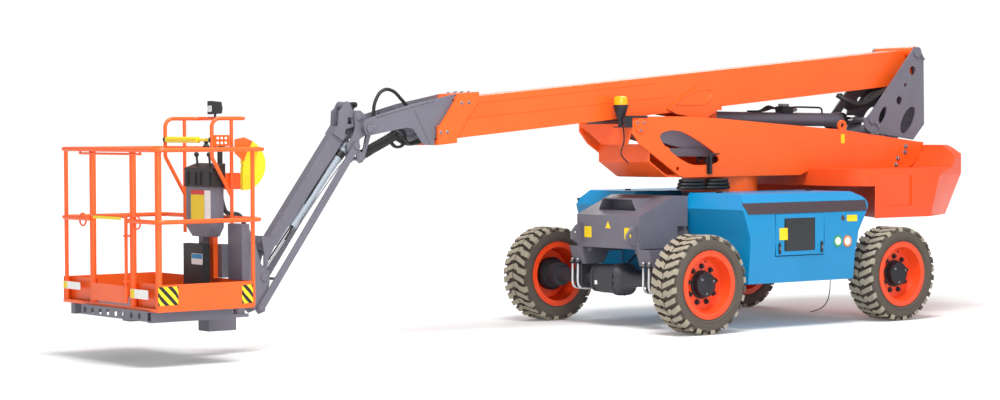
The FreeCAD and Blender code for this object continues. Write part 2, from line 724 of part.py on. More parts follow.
# ---------------------------------------------------------------- telescopic boom
tilt = math.radians(boom_angle)
forward = V(-math.cos(tilt), 0, -math.sin(tilt))
upward = V(-math.sin(tilt), 0, math.cos(tilt))
boom_root = V(boom_pin_x, 0, boom_pin_z)


def on_boom(along, above):
    """Point of the boom's side view: along from the pin to the front, above the pin."""
    point = boom_root + forward * along + upward * above
    return (point.x, point.z)


top = pin_below_top
bottom = pin_below_top - boom_depth
fly_top = top - boom_wall - fly_gap
fly_bottom = bottom + boom_wall + fly_gap
fly_half = boom_half - boom_wall - fly_gap
collar_rise = 38.0             # collar stands out round the tube
collar_top = top + collar_rise
collar_low = bottom - collar_rise


def collar_front(ahead):
    """Raked front edge of the collar, from its top to its lower edge."""
    return [(boom_length + ahead, collar_top), (boom_length + 0.83 * boom_rake + ahead, -180),
            (boom_length + 0.95 * boom_rake + ahead, -188),
            (boom_length + boom_rake + ahead, collar_low)]


def base_boom():
    tube_end = boom_length + 60
    tube = prism([on_boom(-40, top), on_boom(boom_length, top),
                  on_boom(boom_length + boom_rake - 20, bottom), on_boom(-40, bottom)],
                 "y", -boom_half, boom_half)
    back_edge = [(boom_length + 64, collar_low), (boom_length + 60, bottom + 12),
                 (boom_length - 66, -148), (boom_length - 200, -16),
                 (boom_length - 206, collar_top)]
    collar = prism([on_boom(a, h) for a, h in collar_front(0) + back_edge],
                   "y", -boom_half - 14, boom_half + 14)
    hollow = prism([on_boom(500, top - boom_wall), on_boom(tube_end + 300, top - boom_wall),
                    on_boom(tube_end + 300, bottom + boom_wall),
                    on_boom(500, bottom + boom_wall)],
                   "y", -boom_half + boom_wall, boom_half - boom_wall)
    hub = rod_y(boom_pin_x, boom_pin_z, 56, -upright_inner + run_gap, upright_inner - run_gap)
    eye_x = lift_base_x
    eye_z = lift_base_z
    cheek = prism([(eye_x - 619, eye_z + 85), (eye_x - 406, eye_z + 207),
                   (eye_x - 254, eye_z + 291), (eye_x - 23, eye_z + 262),
                   (eye_x - 20, eye_z + 62), (eye_x - 152, eye_z - 8),
                   (eye_x - 506, eye_z + 37)], "y", boom_half, boom_half + 14)
    ears = fuse([prism([(eye_x - 190, eye_z + 30), (eye_x - 60, eye_z - 30),
                        (eye_x + 52, eye_z + 2), (eye_x + 60, eye_z + 130),
                        (eye_x - 190, eye_z + 130)], "y", 70, 88),
                 rod_y(eye_x, eye_z, 52, 70, 88)])
    seat = box(eye_x - 200, eye_x + 60, -boom_half, boom_half, eye_z + 72, eye_z + 130)
    stubs = both_sides(rod_y(eye_x, eye_z, 26, 70, 96))
    body = fuse([tube, collar, hub, seat] + both_sides(cheek) + both_sides(ears)).cut(hollow)
    pad_start = boom_length - 180
    pad_stop = boom_length - 20
    pads = [prism([on_boom(pad_start, z0), on_boom(pad_stop, z0), on_boom(pad_stop, z1),
                   on_boom(pad_start, z1)], "y", -90, 90)
            for z0, z1 in ((fly_top + gap, top - boom_wall), (bottom + boom_wall, fly_bottom - gap))]
    pads += both_sides(prism([on_boom(pad_start, -230), on_boom(pad_stop, -230),
                              on_boom(pad_stop, -60), on_boom(pad_start, -60)],
                             "y", fly_half + gap, boom_half - boom_wall))
    body = fuse([body] + stubs + pads)
    return bored(body, [rod_y(boom_pin_x, boom_pin_z, pin_radius + gap, -400, 400)])


nose = V(nose_x, 0, nose_z)
nose_start = run_gap + 4       # nose's rear edge ahead of the collar's front edge


def fly_edge(ahead):
    """Raked front end of the fly: the collar's line cut at the fly's top and bottom."""
    upper, step, shoulder, lower = collar_front(ahead)
    slope = (step[0] - upper[0]) / (step[1] - upper[1])
    first = (upper[0] + slope * (fly_top - upper[1]), fly_top)
    slope = (lower[0] - shoulder[0]) / (lower[1] - shoulder[1])
    last = (shoulder[0] + slope * (fly_bottom - shoulder[1]), fly_bottom)
    return [first, step, shoulder, last]


def fly_boom():
    start = boom_length - fly_inside
    front = [on_boom(a, h) for a, h in fly_edge(nose_start - gap)]
    tube = prism([on_boom(start, fly_top)] + front + [on_boom(start, fly_bottom)],
                 "y", -fly_half, fly_half)
    stop = boom_length + boom_rake + 40
    hollow = prism([on_boom(start - 1, fly_top - fly_wall), on_boom(stop, fly_top - fly_wall),
                    on_boom(stop, fly_bottom + fly_wall),
                    on_boom(start - 1, fly_bottom + fly_wall)],
                   "y", -fly_half + fly_wall, fly_half - fly_wall)
    return tube.cut(hollow)


nose_plate = 14.0


def nose_head():
    """Open fork at the front of the fly: two side plates and the pin at their tips."""
    def near_nose(dx, dz):
        return (nose.x + dx, nose.z + dz)

    rear = [on_boom(a, h) for a, h in reversed(collar_front(nose_start))]
    outline = rear + [near_nose(660, 245), near_nose(445, 203), near_nose(32, 95),
                      near_nose(-30, 72), near_nose(-53, 47), near_nose(-53, 6),
                      near_nose(-34, -34), near_nose(31, -52), near_nose(383, 8),
                      near_nose(444, -4), near_nose(555, -134)]
    inner = fly_half - nose_plate
    side = prism(outline, "y", inner, fly_half)
    closing = fly_edge(nose_start) + list(reversed(fly_edge(nose_start + 16)))
    web = prism([on_boom(a, h) for a, h in closing], "y", -fly_half + 1, fly_half - 1)
    stiffener = prism([near_nose(262, 150), near_nose(276, 150), near_nose(262, -18),
                       near_nose(248, -18)], "y", inner - 24, inner)
    tie = rod_y(nose.x + 520, nose.z - 60, 20, -inner, inner)
    boss = rod_y(nose.x, nose.z, 50, fly_half, fly_half + 8)
    pin = rod_y(nose.x, nose.z, 28, -fly_half - 14, fly_half + 14)
    return fuse(both_sides(side) + both_sides(stiffener) + both_sides(boss) + [web, tie, pin])


save(base_boom(), "base_boom")
save(fly_boom(), "fly_boom")
save(nose_head(), "nose_head")


# ---------------------------------------------------------------- knuckle and jib
jib_run = V(jib_dx, 0, jib_dz)
arm_top = nose + V(arm_pin_dx, 0, arm_pin_dz)
arm_low = arm_top + jib_run
link_top = nose + V(link_pin_dx, 0, link_pin_dz)
link_low = link_top + jib_run
jib_base = nose + V(jib_base_dx, 0, jib_base_dz)
arm_half = 45.0                # jib arm's box section, half width
arm_depth = 125.0
arm_cheek = 61.0               # outer face of the arm's end plates
hanger_in = 68.0               # knuckle's and carrier's plates
hanger_out = 86.0
link_in = 94.0
link_out = 108.0


def knuckle():
    """Two cast plates hung on the nose pin, with a leg to the link and a hanging bar."""
    def near_nose(dx, dz):
        return (nose.x + dx, nose.z + dz)

    outline = [near_nose(-102, 20), near_nose(-112, 100), near_nose(-103, 134),
               near_nose(-78, 150), near_nose(-48, 148), near_nose(-18, 124),
               near_nose(40, 62), near_nose(58, 16), near_nose(55, -38), near_nose(-12, -240),
               near_nose(-28, -272), near_nose(-60, -284), near_nose(-84, -262),
               near_nose(-92, -212), near_nose(-150, -190), near_nose(-186, -172),
               near_nose(-190, -128), near_nose(-152, -96), near_nose(-118, -40)]
    window = [near_nose(-62, -88), near_nose(2, -50), near_nose(-30, -196), near_nose(-62, -180)]
    side = prism(outline, "y", hanger_in, hanger_out)
    side = side.cut(prism(window, "y", hanger_in - 1, hanger_out + 1))
    hub = rod_y(nose.x, nose.z, 50, hanger_in, fly_half - nose_plate - run_gap)
    stub = rod_y(link_top.x, link_top.z, 20, hanger_in, link_out + 2)
    sides = both_sides(fuse([side, hub, stub]))
    pins = [rod_y(arm_top.x, arm_top.z, 24, -hanger_out, hanger_out),
            rod_y(jib_base.x, jib_base.z, 20, -hanger_out, hanger_out),
            rod_y(nose.x - 50, nose.z - 246, 16, -hanger_out - 6, hanger_out + 6)]
    return bored(fuse(sides + pins), [rod_y(nose.x, nose.z, 28 + gap, -300, 300)])


def jib_arm():
    """Box section with plates that carry its pins at both ends and a roller on its head."""
    way = V(-0.606, 0, -0.795)
    across = V(-way.z, 0, way.x) * (arm_depth / 2)
    head = arm_top + V(-131, 0, -99)
    a = head + way * 20
    b = head + way * 1135
    tube = prism([((a - across).x, (a - across).z), ((b - across * 0.8).x, (b - across * 0.8).z),
                  ((b + across * 0.8).x, (b + across * 0.8).z), ((a + across).x, (a + across).z)],
                 "y", -arm_half, arm_half)

    def near_top(dx, dz):
        return (arm_top.x + dx, arm_top.z + dz)

    plates = prism([near_top(-186, -68), near_top(-180, 42), near_top(-150, 66),
                    near_top(-128, 108), near_top(-104, 124), near_top(-76, 118),
                    near_top(-50, 54), near_top(0, 46), near_top(34, 28), near_top(44, -8),
                    near_top(26, -38), near_top(-40, -84), near_top(-116, -102),
                    near_top(-140, -196), near_top(-240, -140)], "y", arm_half, arm_cheek)
    window = box(arm_top.x - 96, arm_top.x - 56, arm_half - 1, arm_cheek + 1,
                 arm_top.z - 62, arm_top.z - 6)
    plates = plates.cut(window)
    cap = rod_y(arm_top.x, arm_top.z, 40, -arm_half, arm_half)
    roller = rod_y(arm_top.x - 96, arm_top.z + 84, 36, -arm_half, arm_half)
    boss_x = arm_low.x + 62
    boss_z = arm_low.z + 250
    boss = rod_y(boss_x, boss_z, 57, -arm_half - 6, arm_half + 6)

    def near_low(dx, dz):
        return (arm_low.x + dx, arm_low.z + dz)

    shoe = prism([near_low(-10, 331), near_low(140, 310), near_low(122, 248), near_low(63, 155),
                  near_low(34, 40), near_low(20, -28), near_low(-10, -36), near_low(-34, -10),
                  near_low(17, 60), near_low(18, 190)], "y", arm_half, arm_cheek)
    low_eye = rod_y(arm_low.x, arm_low.z, 40, arm_half, arm_cheek)
    sides = both_sides(fuse([plates])) + both_sides(fuse([shoe, low_eye]))
    body = fuse([tube, cap, roller, boss] + sides)
    return bored(body, [rod_y(arm_top.x, arm_top.z, 24 + gap, -300, 300),
                        rod_y(arm_low.x, arm_low.z, 24 + gap, -300, 300)])


def jib_link():
    """Two flat bars outside the knuckle and the carrier."""
    bars = both_sides(side_bar(link_top, link_low, 60, 36, link_in, link_out))
    way = (link_low - link_top).normalize()
    tie_at = link_low - way * 276
    tie = rod_y(tie_at.x, tie_at.z, 12, -link_in, link_in)
    return bored(fuse(bars + [tie]), [rod_y(link_top.x, link_top.z, 20 + gap, -300, 300),
                                      rod_y(link_low.x, link_low.z, 20 + gap, -300, 300)])


jib_barrel, jib_rod = cylinder_pair(jib_base, arm_low, 32, 17, 34, (20, 24), 30, 505, "rod")
save(knuckle(), "knuckle")
save(jib_arm(), "jib_arm")
save(jib_link(), "jib_link")
save(jib_barrel, "jib_barrel")
save(jib_rod, "jib_rod")


column_radius = 58.0           # platform's turning column
column_foot = 400.0


def carrier():
    """Lower bracket of the jib with the upright turning column of the platform."""
    outline = [(arm_low.x + 48, arm_low.z + 40), (arm_low.x + 52, arm_low.z - 40),
               (link_low.x + 46, link_low.z - 30), (link_low.x - 10, link_low.z - 48),
               (column_x + 50, 420), (column_x + 50, 1000), (arm_low.x - 90, arm_low.z + 300),
               (arm_low.x - 28, arm_low.z + 110)]
    side = prism(outline, "y", hanger_in, hanger_out)
    column = rod_z(column_x, 0, column_radius, column_foot, 1030)
    web = box(column_x + 40, column_x + 70, -hanger_in, hanger_in, 420, 980)
    stub = rod_y(link_low.x, link_low.z, 20, hanger_in, link_out + 2)
    pin = rod_y(arm_low.x, arm_low.z, 24, arm_half - run_gap, hanger_out)
    return fuse(both_sides(side) + both_sides(stub) + both_sides(pin) + [column, web])


save(carrier(), "jib_carrier")


# ---------------------------------------------------------------- platform
front_x = deck_rear - deck_depth
half_deck = deck_width / 2
rail_top = deck_z + rail_height
rail_mid = deck_z + 0.55 * rail_height
top_rear = deck_rear + 95      # rails reach out behind the deck
mid_rear = deck_rear + 65
post_radius = rail_radius - 1
post_inset = 30.0              # posts stand inside the rails
stout_radius = 25.0            # stout posts: two at the gate and one at the near corner
stout_inset = post_inset + stout_radius - post_radius
post_rear = deck_rear - 4
rim_inset = post_inset - post_radius - 5
deck_low = deck_z - 15
deck_top = deck_z - 3
rim_top = deck_z + 10
gate_near = -310.0
gate_far = 280.0
gate_post = 20.0               # gate posts' middle beyond the opening
hoop_far = 300.0
hoop_near = -410.0
hoop_front = deck_rear - 175
hoop_back = deck_rear + 135
hoop_top = deck_z + 1425
hoop_radius = 15.0


def platform_support():
    """Turntable foot, beam and cross member under the floor."""
    under = deck_low - gap
    shaft = rod_z(column_x, 0, column_radius - 8, 294, column_foot - gap)
    foot = box(column_x - 90, column_x + 52, -70, 70, 294, 318)
    beam = box(deck_rear - 15, column_x - 70, -80, 80, 196, 318)
    spine = box(deck_rear - 700, column_x - 80, -60, 60, 310, 345)
    web = box(deck_rear - 700, deck_rear - 60, -50, 50, 344, under)
    cross = box(deck_rear - 260, deck_rear - 120, -600, 600, 340, under)
    runner = box(front_x + 17, deck_rear - 218, -630, -570, 340, under)
    return fuse([shaft, foot, beam, spine, web, cross] + both_sides(runner))


def step_channel():
    """Perforated channel under the gate, eight round holes in its face."""
    face = box(front_x - rail_radius, front_x - rail_radius + 5, -631, 400, 352, 430)
    shelf = box(front_x - rail_radius, front_x + 60, -631, 400, deck_low - gap - 5, deck_low - gap)
    low = box(front_x - rail_radius, front_x + 16, -631, 400, 352, 357)
    channel = fuse([face, shelf.cut(box(front_x + 16, front_x + 61, -640, -560, 0, 1000)), low])
    holes = [Part.makeCylinder(24, 30, V(front_x - 30, 340 - 122 * i, 388), V(1, 0, 0))
             for i in range(8)]
    return bored(channel, holes)


def floor_pan():
    inset = rim_inset + 6 + gap
    return box(front_x + inset, deck_rear - inset, -half_deck + inset, half_deck - inset,
               deck_low, deck_top)


def rail_loop(level, front_near, front_far, rear):
    """Two U-shaped rails that meet behind the console; each ends at a post by the gate."""
    bend = 70.0
    join = -50.0
    near = [V(front_x, front_near, level), V(front_x, -half_deck, level),
            V(rear, -half_deck, level), V(rear, join, level)]
    far = [V(front_x, front_far, level), V(front_x, half_deck, level),
           V(rear, half_deck, level), V(rear, join, level)]
    return [bent_tube(near, [bend, bend], rail_radius), bent_tube(far, [bend, bend], rail_radius)]


def guard_rails():
    parts = rail_loop(rail_mid, gate_near - gate_post, gate_far + gate_post, mid_rear)
    parts += rail_loop(rail_top, -50, -50, top_rear)
    post_y = half_deck - post_inset
    stout_x = front_x + stout_inset
    for x, y in ((front_x + post_inset, post_y), (post_rear, -post_y), (post_rear, post_y)):
        parts.append(rod_z(x, y, post_radius, deck_top + gap, rail_top))
    for y in (stout_inset - half_deck, gate_near - gate_post, gate_far + gate_post):
        parts.append(rod_z(stout_x, y, stout_radius, deck_top + gap, rail_top))
    grip_z = rail_top - 32
    parts.append(rod_y(front_x, grip_z, 9, -524, 435))
    for y in (-515, 426):
        parts.append(rod_z(front_x, y, 8, grip_z, rail_top))
    rim_out = rim_inset
    rim_in = rim_inset + 6
    rim = box(front_x + rim_out, deck_rear - rim_out, -half_deck + rim_out, half_deck - rim_out,
              deck_low, rim_top)
    rim = rim.cut(box(front_x + rim_in, deck_rear - rim_in, -half_deck + rim_in,
                      half_deck - rim_in, 0, 1000))
    parts.append(rim)
    for y in (hoop_near, hoop_far):
        parts.append(rod_z(deck_rear, y, hoop_radius - 1, rail_mid - 130, hoop_top))
        for z, rear in ((rail_mid, mid_rear), (rail_top, top_rear)):
            parts.append(rod(V(deck_rear, y, z), V(rear, y, z), hoop_radius - 3))
    low = hoop_top - 600
    knee = hoop_top - 300
    route = [V(deck_rear, hoop_far, low), V(hoop_front, hoop_far, knee),
             V(hoop_front, hoop_far, hoop_top), V(hoop_back, hoop_far, hoop_top),
             V(hoop_back, hoop_near, hoop_top), V(hoop_front, hoop_near, hoop_top),
             V(hoop_front, hoop_near, knee), V(deck_rear, hoop_near, low)]
    parts.append(bent_tube(route, [60, 70, 60, 60, 70, 60], hoop_radius))
    frame = fuse(parts)
    hinge_y = gate_near + 20
    for z in (deck_z + 190, rail_mid - 120):
        eye = fuse([rod_z(front_x, hinge_y, 22, z, z + 14),
                    box(front_x - 10, front_x + 20, gate_near - 18, hinge_y, z, z + 14)])
        frame = frame.fuse(eye.cut(rod_z(front_x, hinge_y, 13 + gap, z - 1, z + 15)))
    return frame


def toe_boards():
    """Kick boards: outside the posts at the sides, inside them at the front and rear."""
    thick = 4.0
    low = rim_top + gap
    high = low + 178
    outer = half_deck - post_inset + post_radius + gap
    side = box(front_x + 12, deck_rear - 12, outer, outer + thick, low, high)
    inside_rim = half_deck - rim_inset - 6 - gap
    gate_x = front_x + stout_inset + stout_radius + gap
    rear_x = post_rear - post_radius - gap - thick
    boards = []
    for x, y0, y1 in ((rear_x, -half_deck, half_deck), (gate_x, -half_deck, gate_near - 2),
                      (gate_x, gate_far + 2, half_deck)):
        boards.append(box(x, x + thick, max(y0, -outer), min(y1, outer), low, high))
        boards.append(box(x, x + thick, max(y0, -inside_rim), min(y1, inside_rim),
                          deck_top + gap, low))
    return fuse(both_sides(side) + boards)


def gate():
    """Swinging gate: a stile in two eyes, a bar at the height of the mid rail, a kick board."""
    a = gate_near + 20
    b = gate_far - 20
    foot = rim_top + run_gap
    bar = rod(V(front_x, a, rail_mid + 30), V(front_x, b, rail_mid + 30), 12)
    stile = rod_z(front_x, a, 13, foot + 20, rail_mid + 46)
    board = box(front_x - 3, front_x + 3, a, b, foot + 14, foot + 146)
    return fuse([bar, stile, board])


def crash_bar():
    """Padded bar across the hoops' front legs, in front of the operator's chest."""
    z = rail_top + 70
    bar = rod_y(hoop_front, z, 11, hoop_near + hoop_radius + gap, hoop_far - hoop_radius - gap)
    pad = rod_y(hoop_front, z, 24, hoop_near + 200, hoop_far - 30)
    return fuse([bar, pad])


def work_lamp():
    """Flood lamp on a short stalk above the hoops."""
    y = 54.0
    z = hoop_top + hoop_radius + gap
    stalk = rod_z(hoop_back, y, 10, z, z + 40)
    case = prism([(hoop_back - 48, z + 18), (hoop_back + 40, z + 24), (hoop_back + 48, z + 62),
                  (hoop_back + 38, z + 116), (hoop_back - 48, z + 124)], "y", y - 38, y + 38)
    return fuse([stalk, case])


console_front = deck_rear - 150
console_back = deck_rear - 2 * rail_radius - 4
console_near = -380.0
console_far = 50.0
console_low = rail_top - 295


def console():
    """Control box with a sloping face and two levers."""
    body = prism([(console_front, console_low), (console_back, console_low),
                  (console_back, rail_top - 112), (console_front, rail_top - 150)],
                 "y", console_near, console_far)
    levers = []
    for y in (console_near + 130, console_far - 110):
        base = V((console_front + console_back) / 2, y, rail_top - 150)
        tip = base + V(-10, 0, 105)
        levers.append(rod(base, tip, 9))
        levers.append(Part.makeSphere(20, tip))
    rail_face = top_rear - rail_radius - gap
    hook = box(console_back - 10, rail_face, -150, -90, rail_top - 210, rail_top - 170)
    strap = box(rail_face - 12, rail_face, -150, -90, rail_top - 210, rail_top + 6)
    return fuse([body, hook, strap] + levers)


def pedestal():
    """Document bin and cable housing under the control box."""
    top_z = console_low - gap
    body = prism([(console_near + 25, top_z), (console_far - 25, top_z),
                  (console_far - 25, top_z - 310), (-68, top_z - 384), (-290, top_z - 384),
                  (console_near + 25, top_z - 310)], "x", console_front, console_back)
    foot = box(console_front + 30, console_back - 24, -180, -110, deck_top + gap, top_z - 380)
    return fuse([body, foot])


def foot_box():
    return box(console_front - 40, console_front + 29, -280, 8, deck_top + gap, deck_z + 455)


def reel_guard():
    """Round sheet guard across the rear rail, held on it by a clamp ring."""
    x = deck_rear - 5
    z = rail_top - 120
    face = -600.0
    disc = rod_y(x, z, 195, face, face + 40)
    keep = prism([(x, z), (x - 400, z + 160), (x - 400, z + 400), (x + 400, z + 400),
                  (x + 400, z - 400), (x - 110, z - 400)], "y", face - 100, face + 100)
    sheet_body = disc.common(keep).common(box(x - 8, x + 200, face - 100, face + 100,
                                              z - 200, z + 200))
    ring = rod_y(top_rear, rail_top, rail_radius + 12, face - 8, face + 48)
    return fuse([sheet_body, ring]).cut(rod_y(top_rear, rail_top, rail_radius + gap,
                                              face - 100, face + 100))


save(platform_support(), "platform_support")
save(step_channel(), "step_channel")
save(floor_pan(), "platform_floor")
save(guard_rails(), "guard_rails")
save(toe_boards(), "toe_boards")
save(gate(), "gate")
save(crash_bar(), "crash_bar")
save(work_lamp(), "work_lamp")
save(console(), "console")
save(pedestal(), "pedestal")
save(foot_box(), "foot_box")
save(reel_guard(), "reel_guard")
print("parts written:", len(os.listdir("parts")))
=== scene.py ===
import json
import math

import bmesh
import bpy
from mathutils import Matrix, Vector


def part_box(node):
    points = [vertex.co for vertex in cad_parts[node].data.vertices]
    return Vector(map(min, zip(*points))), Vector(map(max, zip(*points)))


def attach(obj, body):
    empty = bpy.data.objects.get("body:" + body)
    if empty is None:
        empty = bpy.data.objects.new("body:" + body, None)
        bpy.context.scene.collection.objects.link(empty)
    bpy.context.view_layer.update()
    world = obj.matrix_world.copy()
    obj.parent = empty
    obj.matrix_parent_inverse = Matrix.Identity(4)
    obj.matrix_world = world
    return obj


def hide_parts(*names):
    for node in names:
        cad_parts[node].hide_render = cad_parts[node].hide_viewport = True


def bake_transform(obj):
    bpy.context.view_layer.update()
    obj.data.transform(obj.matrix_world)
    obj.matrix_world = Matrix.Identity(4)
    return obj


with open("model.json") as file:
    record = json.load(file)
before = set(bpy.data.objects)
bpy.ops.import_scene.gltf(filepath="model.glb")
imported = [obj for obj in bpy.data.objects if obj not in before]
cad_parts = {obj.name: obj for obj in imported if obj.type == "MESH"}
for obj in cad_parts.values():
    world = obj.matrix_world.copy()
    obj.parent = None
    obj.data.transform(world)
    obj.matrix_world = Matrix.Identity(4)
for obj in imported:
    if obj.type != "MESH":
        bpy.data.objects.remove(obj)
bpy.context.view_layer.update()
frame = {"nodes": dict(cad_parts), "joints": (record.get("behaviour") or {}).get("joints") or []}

scene = bpy.context.scene

# Camera: a long lens at head height, off the platform end and to the machine's left,
# so that the whole reach of the boom fits one wide frame.
camera = bpy.data.objects.new("camera", bpy.data.cameras.new("camera"))
scene.collection.objects.link(camera)
camera.location = (-13.3435, -16.4748, 1.8184)
camera.rotation_euler = [math.radians(a) for a in (88.195, 0.183, -37.707)]
camera.data.sensor_fit = "HORIZONTAL"
camera.data.sensor_width = 36.0
camera.data.lens = 87.31
camera.data.clip_end = 200.0
scene.camera = camera


# Earthing strap: a conductive rubber cord clamped under the chassis box's rear wall. It hangs
# almost to the ground, where its bare end trails towards the drive axle.
def linear(code):
    """sRGB hex colour to linear RGBA."""
    out = []
    for i in (0, 2, 4):
        c = int(code[i:i + 2], 16) / 255.0
        out.append(c / 12.92 if c <= 0.04045 else ((c + 0.055) / 1.055) ** 2.4)
    return (*out, 1.0)


# where each joint of the machine turns or slides
pins = {joint["name"]: Vector(joint["pos_m"]) for joint in frame["joints"] if "pos_m" in joint}
strap_top = Vector((pins["steer_near"].x + 0.127, -0.125, 0.554))
strap_route = [(0, 0, 0), (0, 0, -0.084), (-0.002, 0, -0.174), (-0.003, 0, -0.264),
               (-0.006, 0.003, -0.349), (-0.026, 0.007, -0.429), (-0.082, 0.013, -0.492),
               (-0.162, 0.021, -0.520), (-0.246, 0.027, -0.532)]
strap_curve = bpy.data.curves.new("drag_strap_cord", "CURVE")
strap_curve.dimensions = "3D"
strap_curve.bevel_depth = 0.0045
strap_curve.bevel_resolution = 3
strap_curve.use_fill_caps = True
strap_line = strap_curve.splines.new("NURBS")
strap_line.points.add(len(strap_route) - 1)
for point, offset in zip(strap_line.points, strap_route):
    point.co = (*(strap_top + Vector(offset)), 1.0)
strap_line.order_u = 3
strap_line.use_endpoint_u = True
strap_line.resolution_u = 8
strap = bpy.data.objects.new("drag_strap_cord", strap_curve)
scene.collection.objects.link(strap)
# carbon-filled rubber, moulded: a dull blue-black that takes hardly any highlight
strap_rubber = bpy.data.materials.new("conductive_rubber")
strap_rubber.use_nodes = True
strap_skin = strap_rubber.node_tree.nodes["Principled BSDF"]
strap_skin.inputs["Base Color"].default_value = linear("242427")
strap_skin.inputs["Roughness"].default_value = 0.65
strap_curve.materials.append(strap_rubber)
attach(strap, "chassis")
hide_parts("drag_strap")


# Studio: one seamless white floor, a bright even dome and three large soft boxes.
# The key box hangs nearly overhead, so the shadows lie soft right below the machine.
def node(tree, kind, settings, links=()):
    """One shader node with its settings (property or socket name to value) and its links in."""
    made = tree.nodes.new(kind)
    for key, value in settings.items():
        if hasattr(made, key) and key not in made.inputs:
            setattr(made, key, value)
        else:
            made.inputs[key].default_value = value
    for key, source in links:
        tree.links.new(source, made.inputs[key])
    return made


def mesh_piece(name, points, faces, material, smooth=False):
    """Adds a mesh in one material, as a piece of its own."""
    data = bpy.data.meshes.new(name)
    data.from_pydata([tuple(p) for p in points], [], faces)
    data.validate()
    if smooth:
        data.shade_smooth()
    data.materials.append(material)
    piece = bpy.data.objects.new(name, data)
    scene.collection.objects.link(piece)
    return piece


# matt paper that glows more the further it runs out, so that it meets the white sky unseen
paper = bpy.data.materials.new("studio_paper")
paper.use_nodes = True
sheet = paper.node_tree.nodes["Principled BSDF"]
sheet.inputs["Base Color"].default_value = linear("E6E6E6")
sheet.inputs["Roughness"].default_value = 1.0
sheet.inputs["Specular IOR Level"].default_value = 0.0
sheet.inputs["Emission Color"].default_value = linear("FFFFFF")
spread = node(paper.node_tree, "ShaderNodeTexCoord", {})
reach = node(paper.node_tree, "ShaderNodeVectorMath", {"operation": "LENGTH"},
             [("Vector", spread.outputs["Object"])])
glow = node(paper.node_tree, "ShaderNodeMapRange", {"From Min": 4.5, "From Max": 13.0,
                                                    "To Min": 0.1, "To Max": 0.68},
            [("Value", reach.outputs["Value"])])
paper.node_tree.links.new(glow.outputs["Result"], sheet.inputs["Emission Strength"])
floor = mesh_piece("floor", [(-90, -60, 0), (140, -60, 0), (140, 160, 0), (-90, 160, 0)],
                   [(0, 1, 2, 3)], paper)

world = bpy.data.worlds.new("studio")
scene.world = world
world.use_nodes = True
sky = world.node_tree
dome = sky.nodes["Background"]
dome.inputs["Color"].default_value = linear("FFFFFF")
dome.inputs["Strength"].default_value = 0.5
backdrop = node(sky, "ShaderNodeBackground", {"Color": linear("FFFFFF"), "Strength": 1.05})
seen = node(sky, "ShaderNodeLightPath", {})
choice = node(sky, "ShaderNodeMixShader", {})
sky.links.new(seen.outputs["Is Camera Ray"], choice.inputs[0])
sky.links.new(dome.outputs["Background"], choice.inputs[1])
sky.links.new(backdrop.outputs["Background"], choice.inputs[2])
sky.links.new(choice.outputs["Shader"], sky.nodes["World Output"].inputs["Surface"])
scene.view_settings.view_transform = "Standard"

for name, place, aim, size, power in (
        ("key", (-3.0, -5.0, 12.0), (0.0, 0.0, 1.0), 6.0, 1900.0),
        ("fill", (-7.0, -14.0, 5.0), (0.0, 0.0, 1.2), 7.0, 700.0),
        ("rim", (9.0, 9.0, 9.0), (0.5, 0.0, 1.5), 6.0, 500.0)):
    lamp = bpy.data.objects.new(name, bpy.data.lights.new(name, "AREA"))
    scene.collection.objects.link(lamp)
    lamp.location = place
    lamp.rotation_euler = (Vector(aim) - Vector(place)).to_track_quat("-Z", "Y").to_euler()
    lamp.data.size = size
    lamp.data.energy = power


# Tyres: block-lug tractor pattern in black rubber, dulled by use; the lugs' tops and the tread
# face are paler than the walls, partly from ground scuff and partly a painted highlight where the
# light falls on them. Each tyre is seated on its rim by the beads.
def surface(name, colour, roughness, metallic=0.0, ior=1.5, grain=0.1, grain_size=0.004,
            depth=0.0005, worn=None, worn_size=0.5):
    """Principled material; grain is the strength of its fine surface relief, and worn a second
    colour that it takes in soft patches of worn_size metres."""
    made = bpy.data.materials.new(name)
    made.use_nodes = True
    tree = made.node_tree
    shader = tree.nodes["Principled BSDF"]
    shader.inputs["Base Color"].default_value = linear(colour)
    shader.inputs["Roughness"].default_value = roughness
    shader.inputs["Metallic"].default_value = metallic
    shader.inputs["IOR"].default_value = ior
    place = node(tree, "ShaderNodeTexCoord", {})
    patches = node(tree, "ShaderNodeTexNoise", {"Scale": 1.0 / worn_size, "Detail": 5.0},
                   [("Vector", place.outputs["Object"])])
    dull = node(tree, "ShaderNodeMapRange", {"From Min": 0.3, "From Max": 0.7,
                                             "To Min": roughness, "To Max": roughness + 0.12},
                [("Value", patches.outputs["Fac"])])
    tree.links.new(dull.outputs["Result"], shader.inputs["Roughness"])
    if worn:
        tint = node(tree, "ShaderNodeMix", {"data_type": "RGBA"},
                    [("Factor", patches.outputs["Fac"])])
        tint.inputs["A"].default_value = linear(colour)
        tint.inputs["B"].default_value = linear(worn)
        tree.links.new(tint.outputs["Result"], shader.inputs["Base Color"])
    if grain:
        relief = node(tree, "ShaderNodeTexNoise", {"Scale": 1.0 / grain_size, "Detail": 2.0},
                      [("Vector", place.outputs["Object"])])
        bump = node(tree, "ShaderNodeBump", {"Strength": grain, "Distance": depth},
                    [("Height", relief.outputs["Fac"])])
        tree.links.new(bump.outputs["Normal"], shader.inputs["Normal"])
    return made


def ease(piece, width, angle=35, segments=1, weighted=True):
    """Rounds a piece's sharp edges to a small radius and keeps its flats looking flat."""
    edge = piece.modifiers.new("edges", "BEVEL")
    edge.width = width
    edge.segments = segments
    edge.limit_method = "ANGLE"
    edge.angle_limit = math.radians(angle)
    if weighted:
        piece.modifiers.new("normals", "WEIGHTED_NORMAL").keep_sharp = True


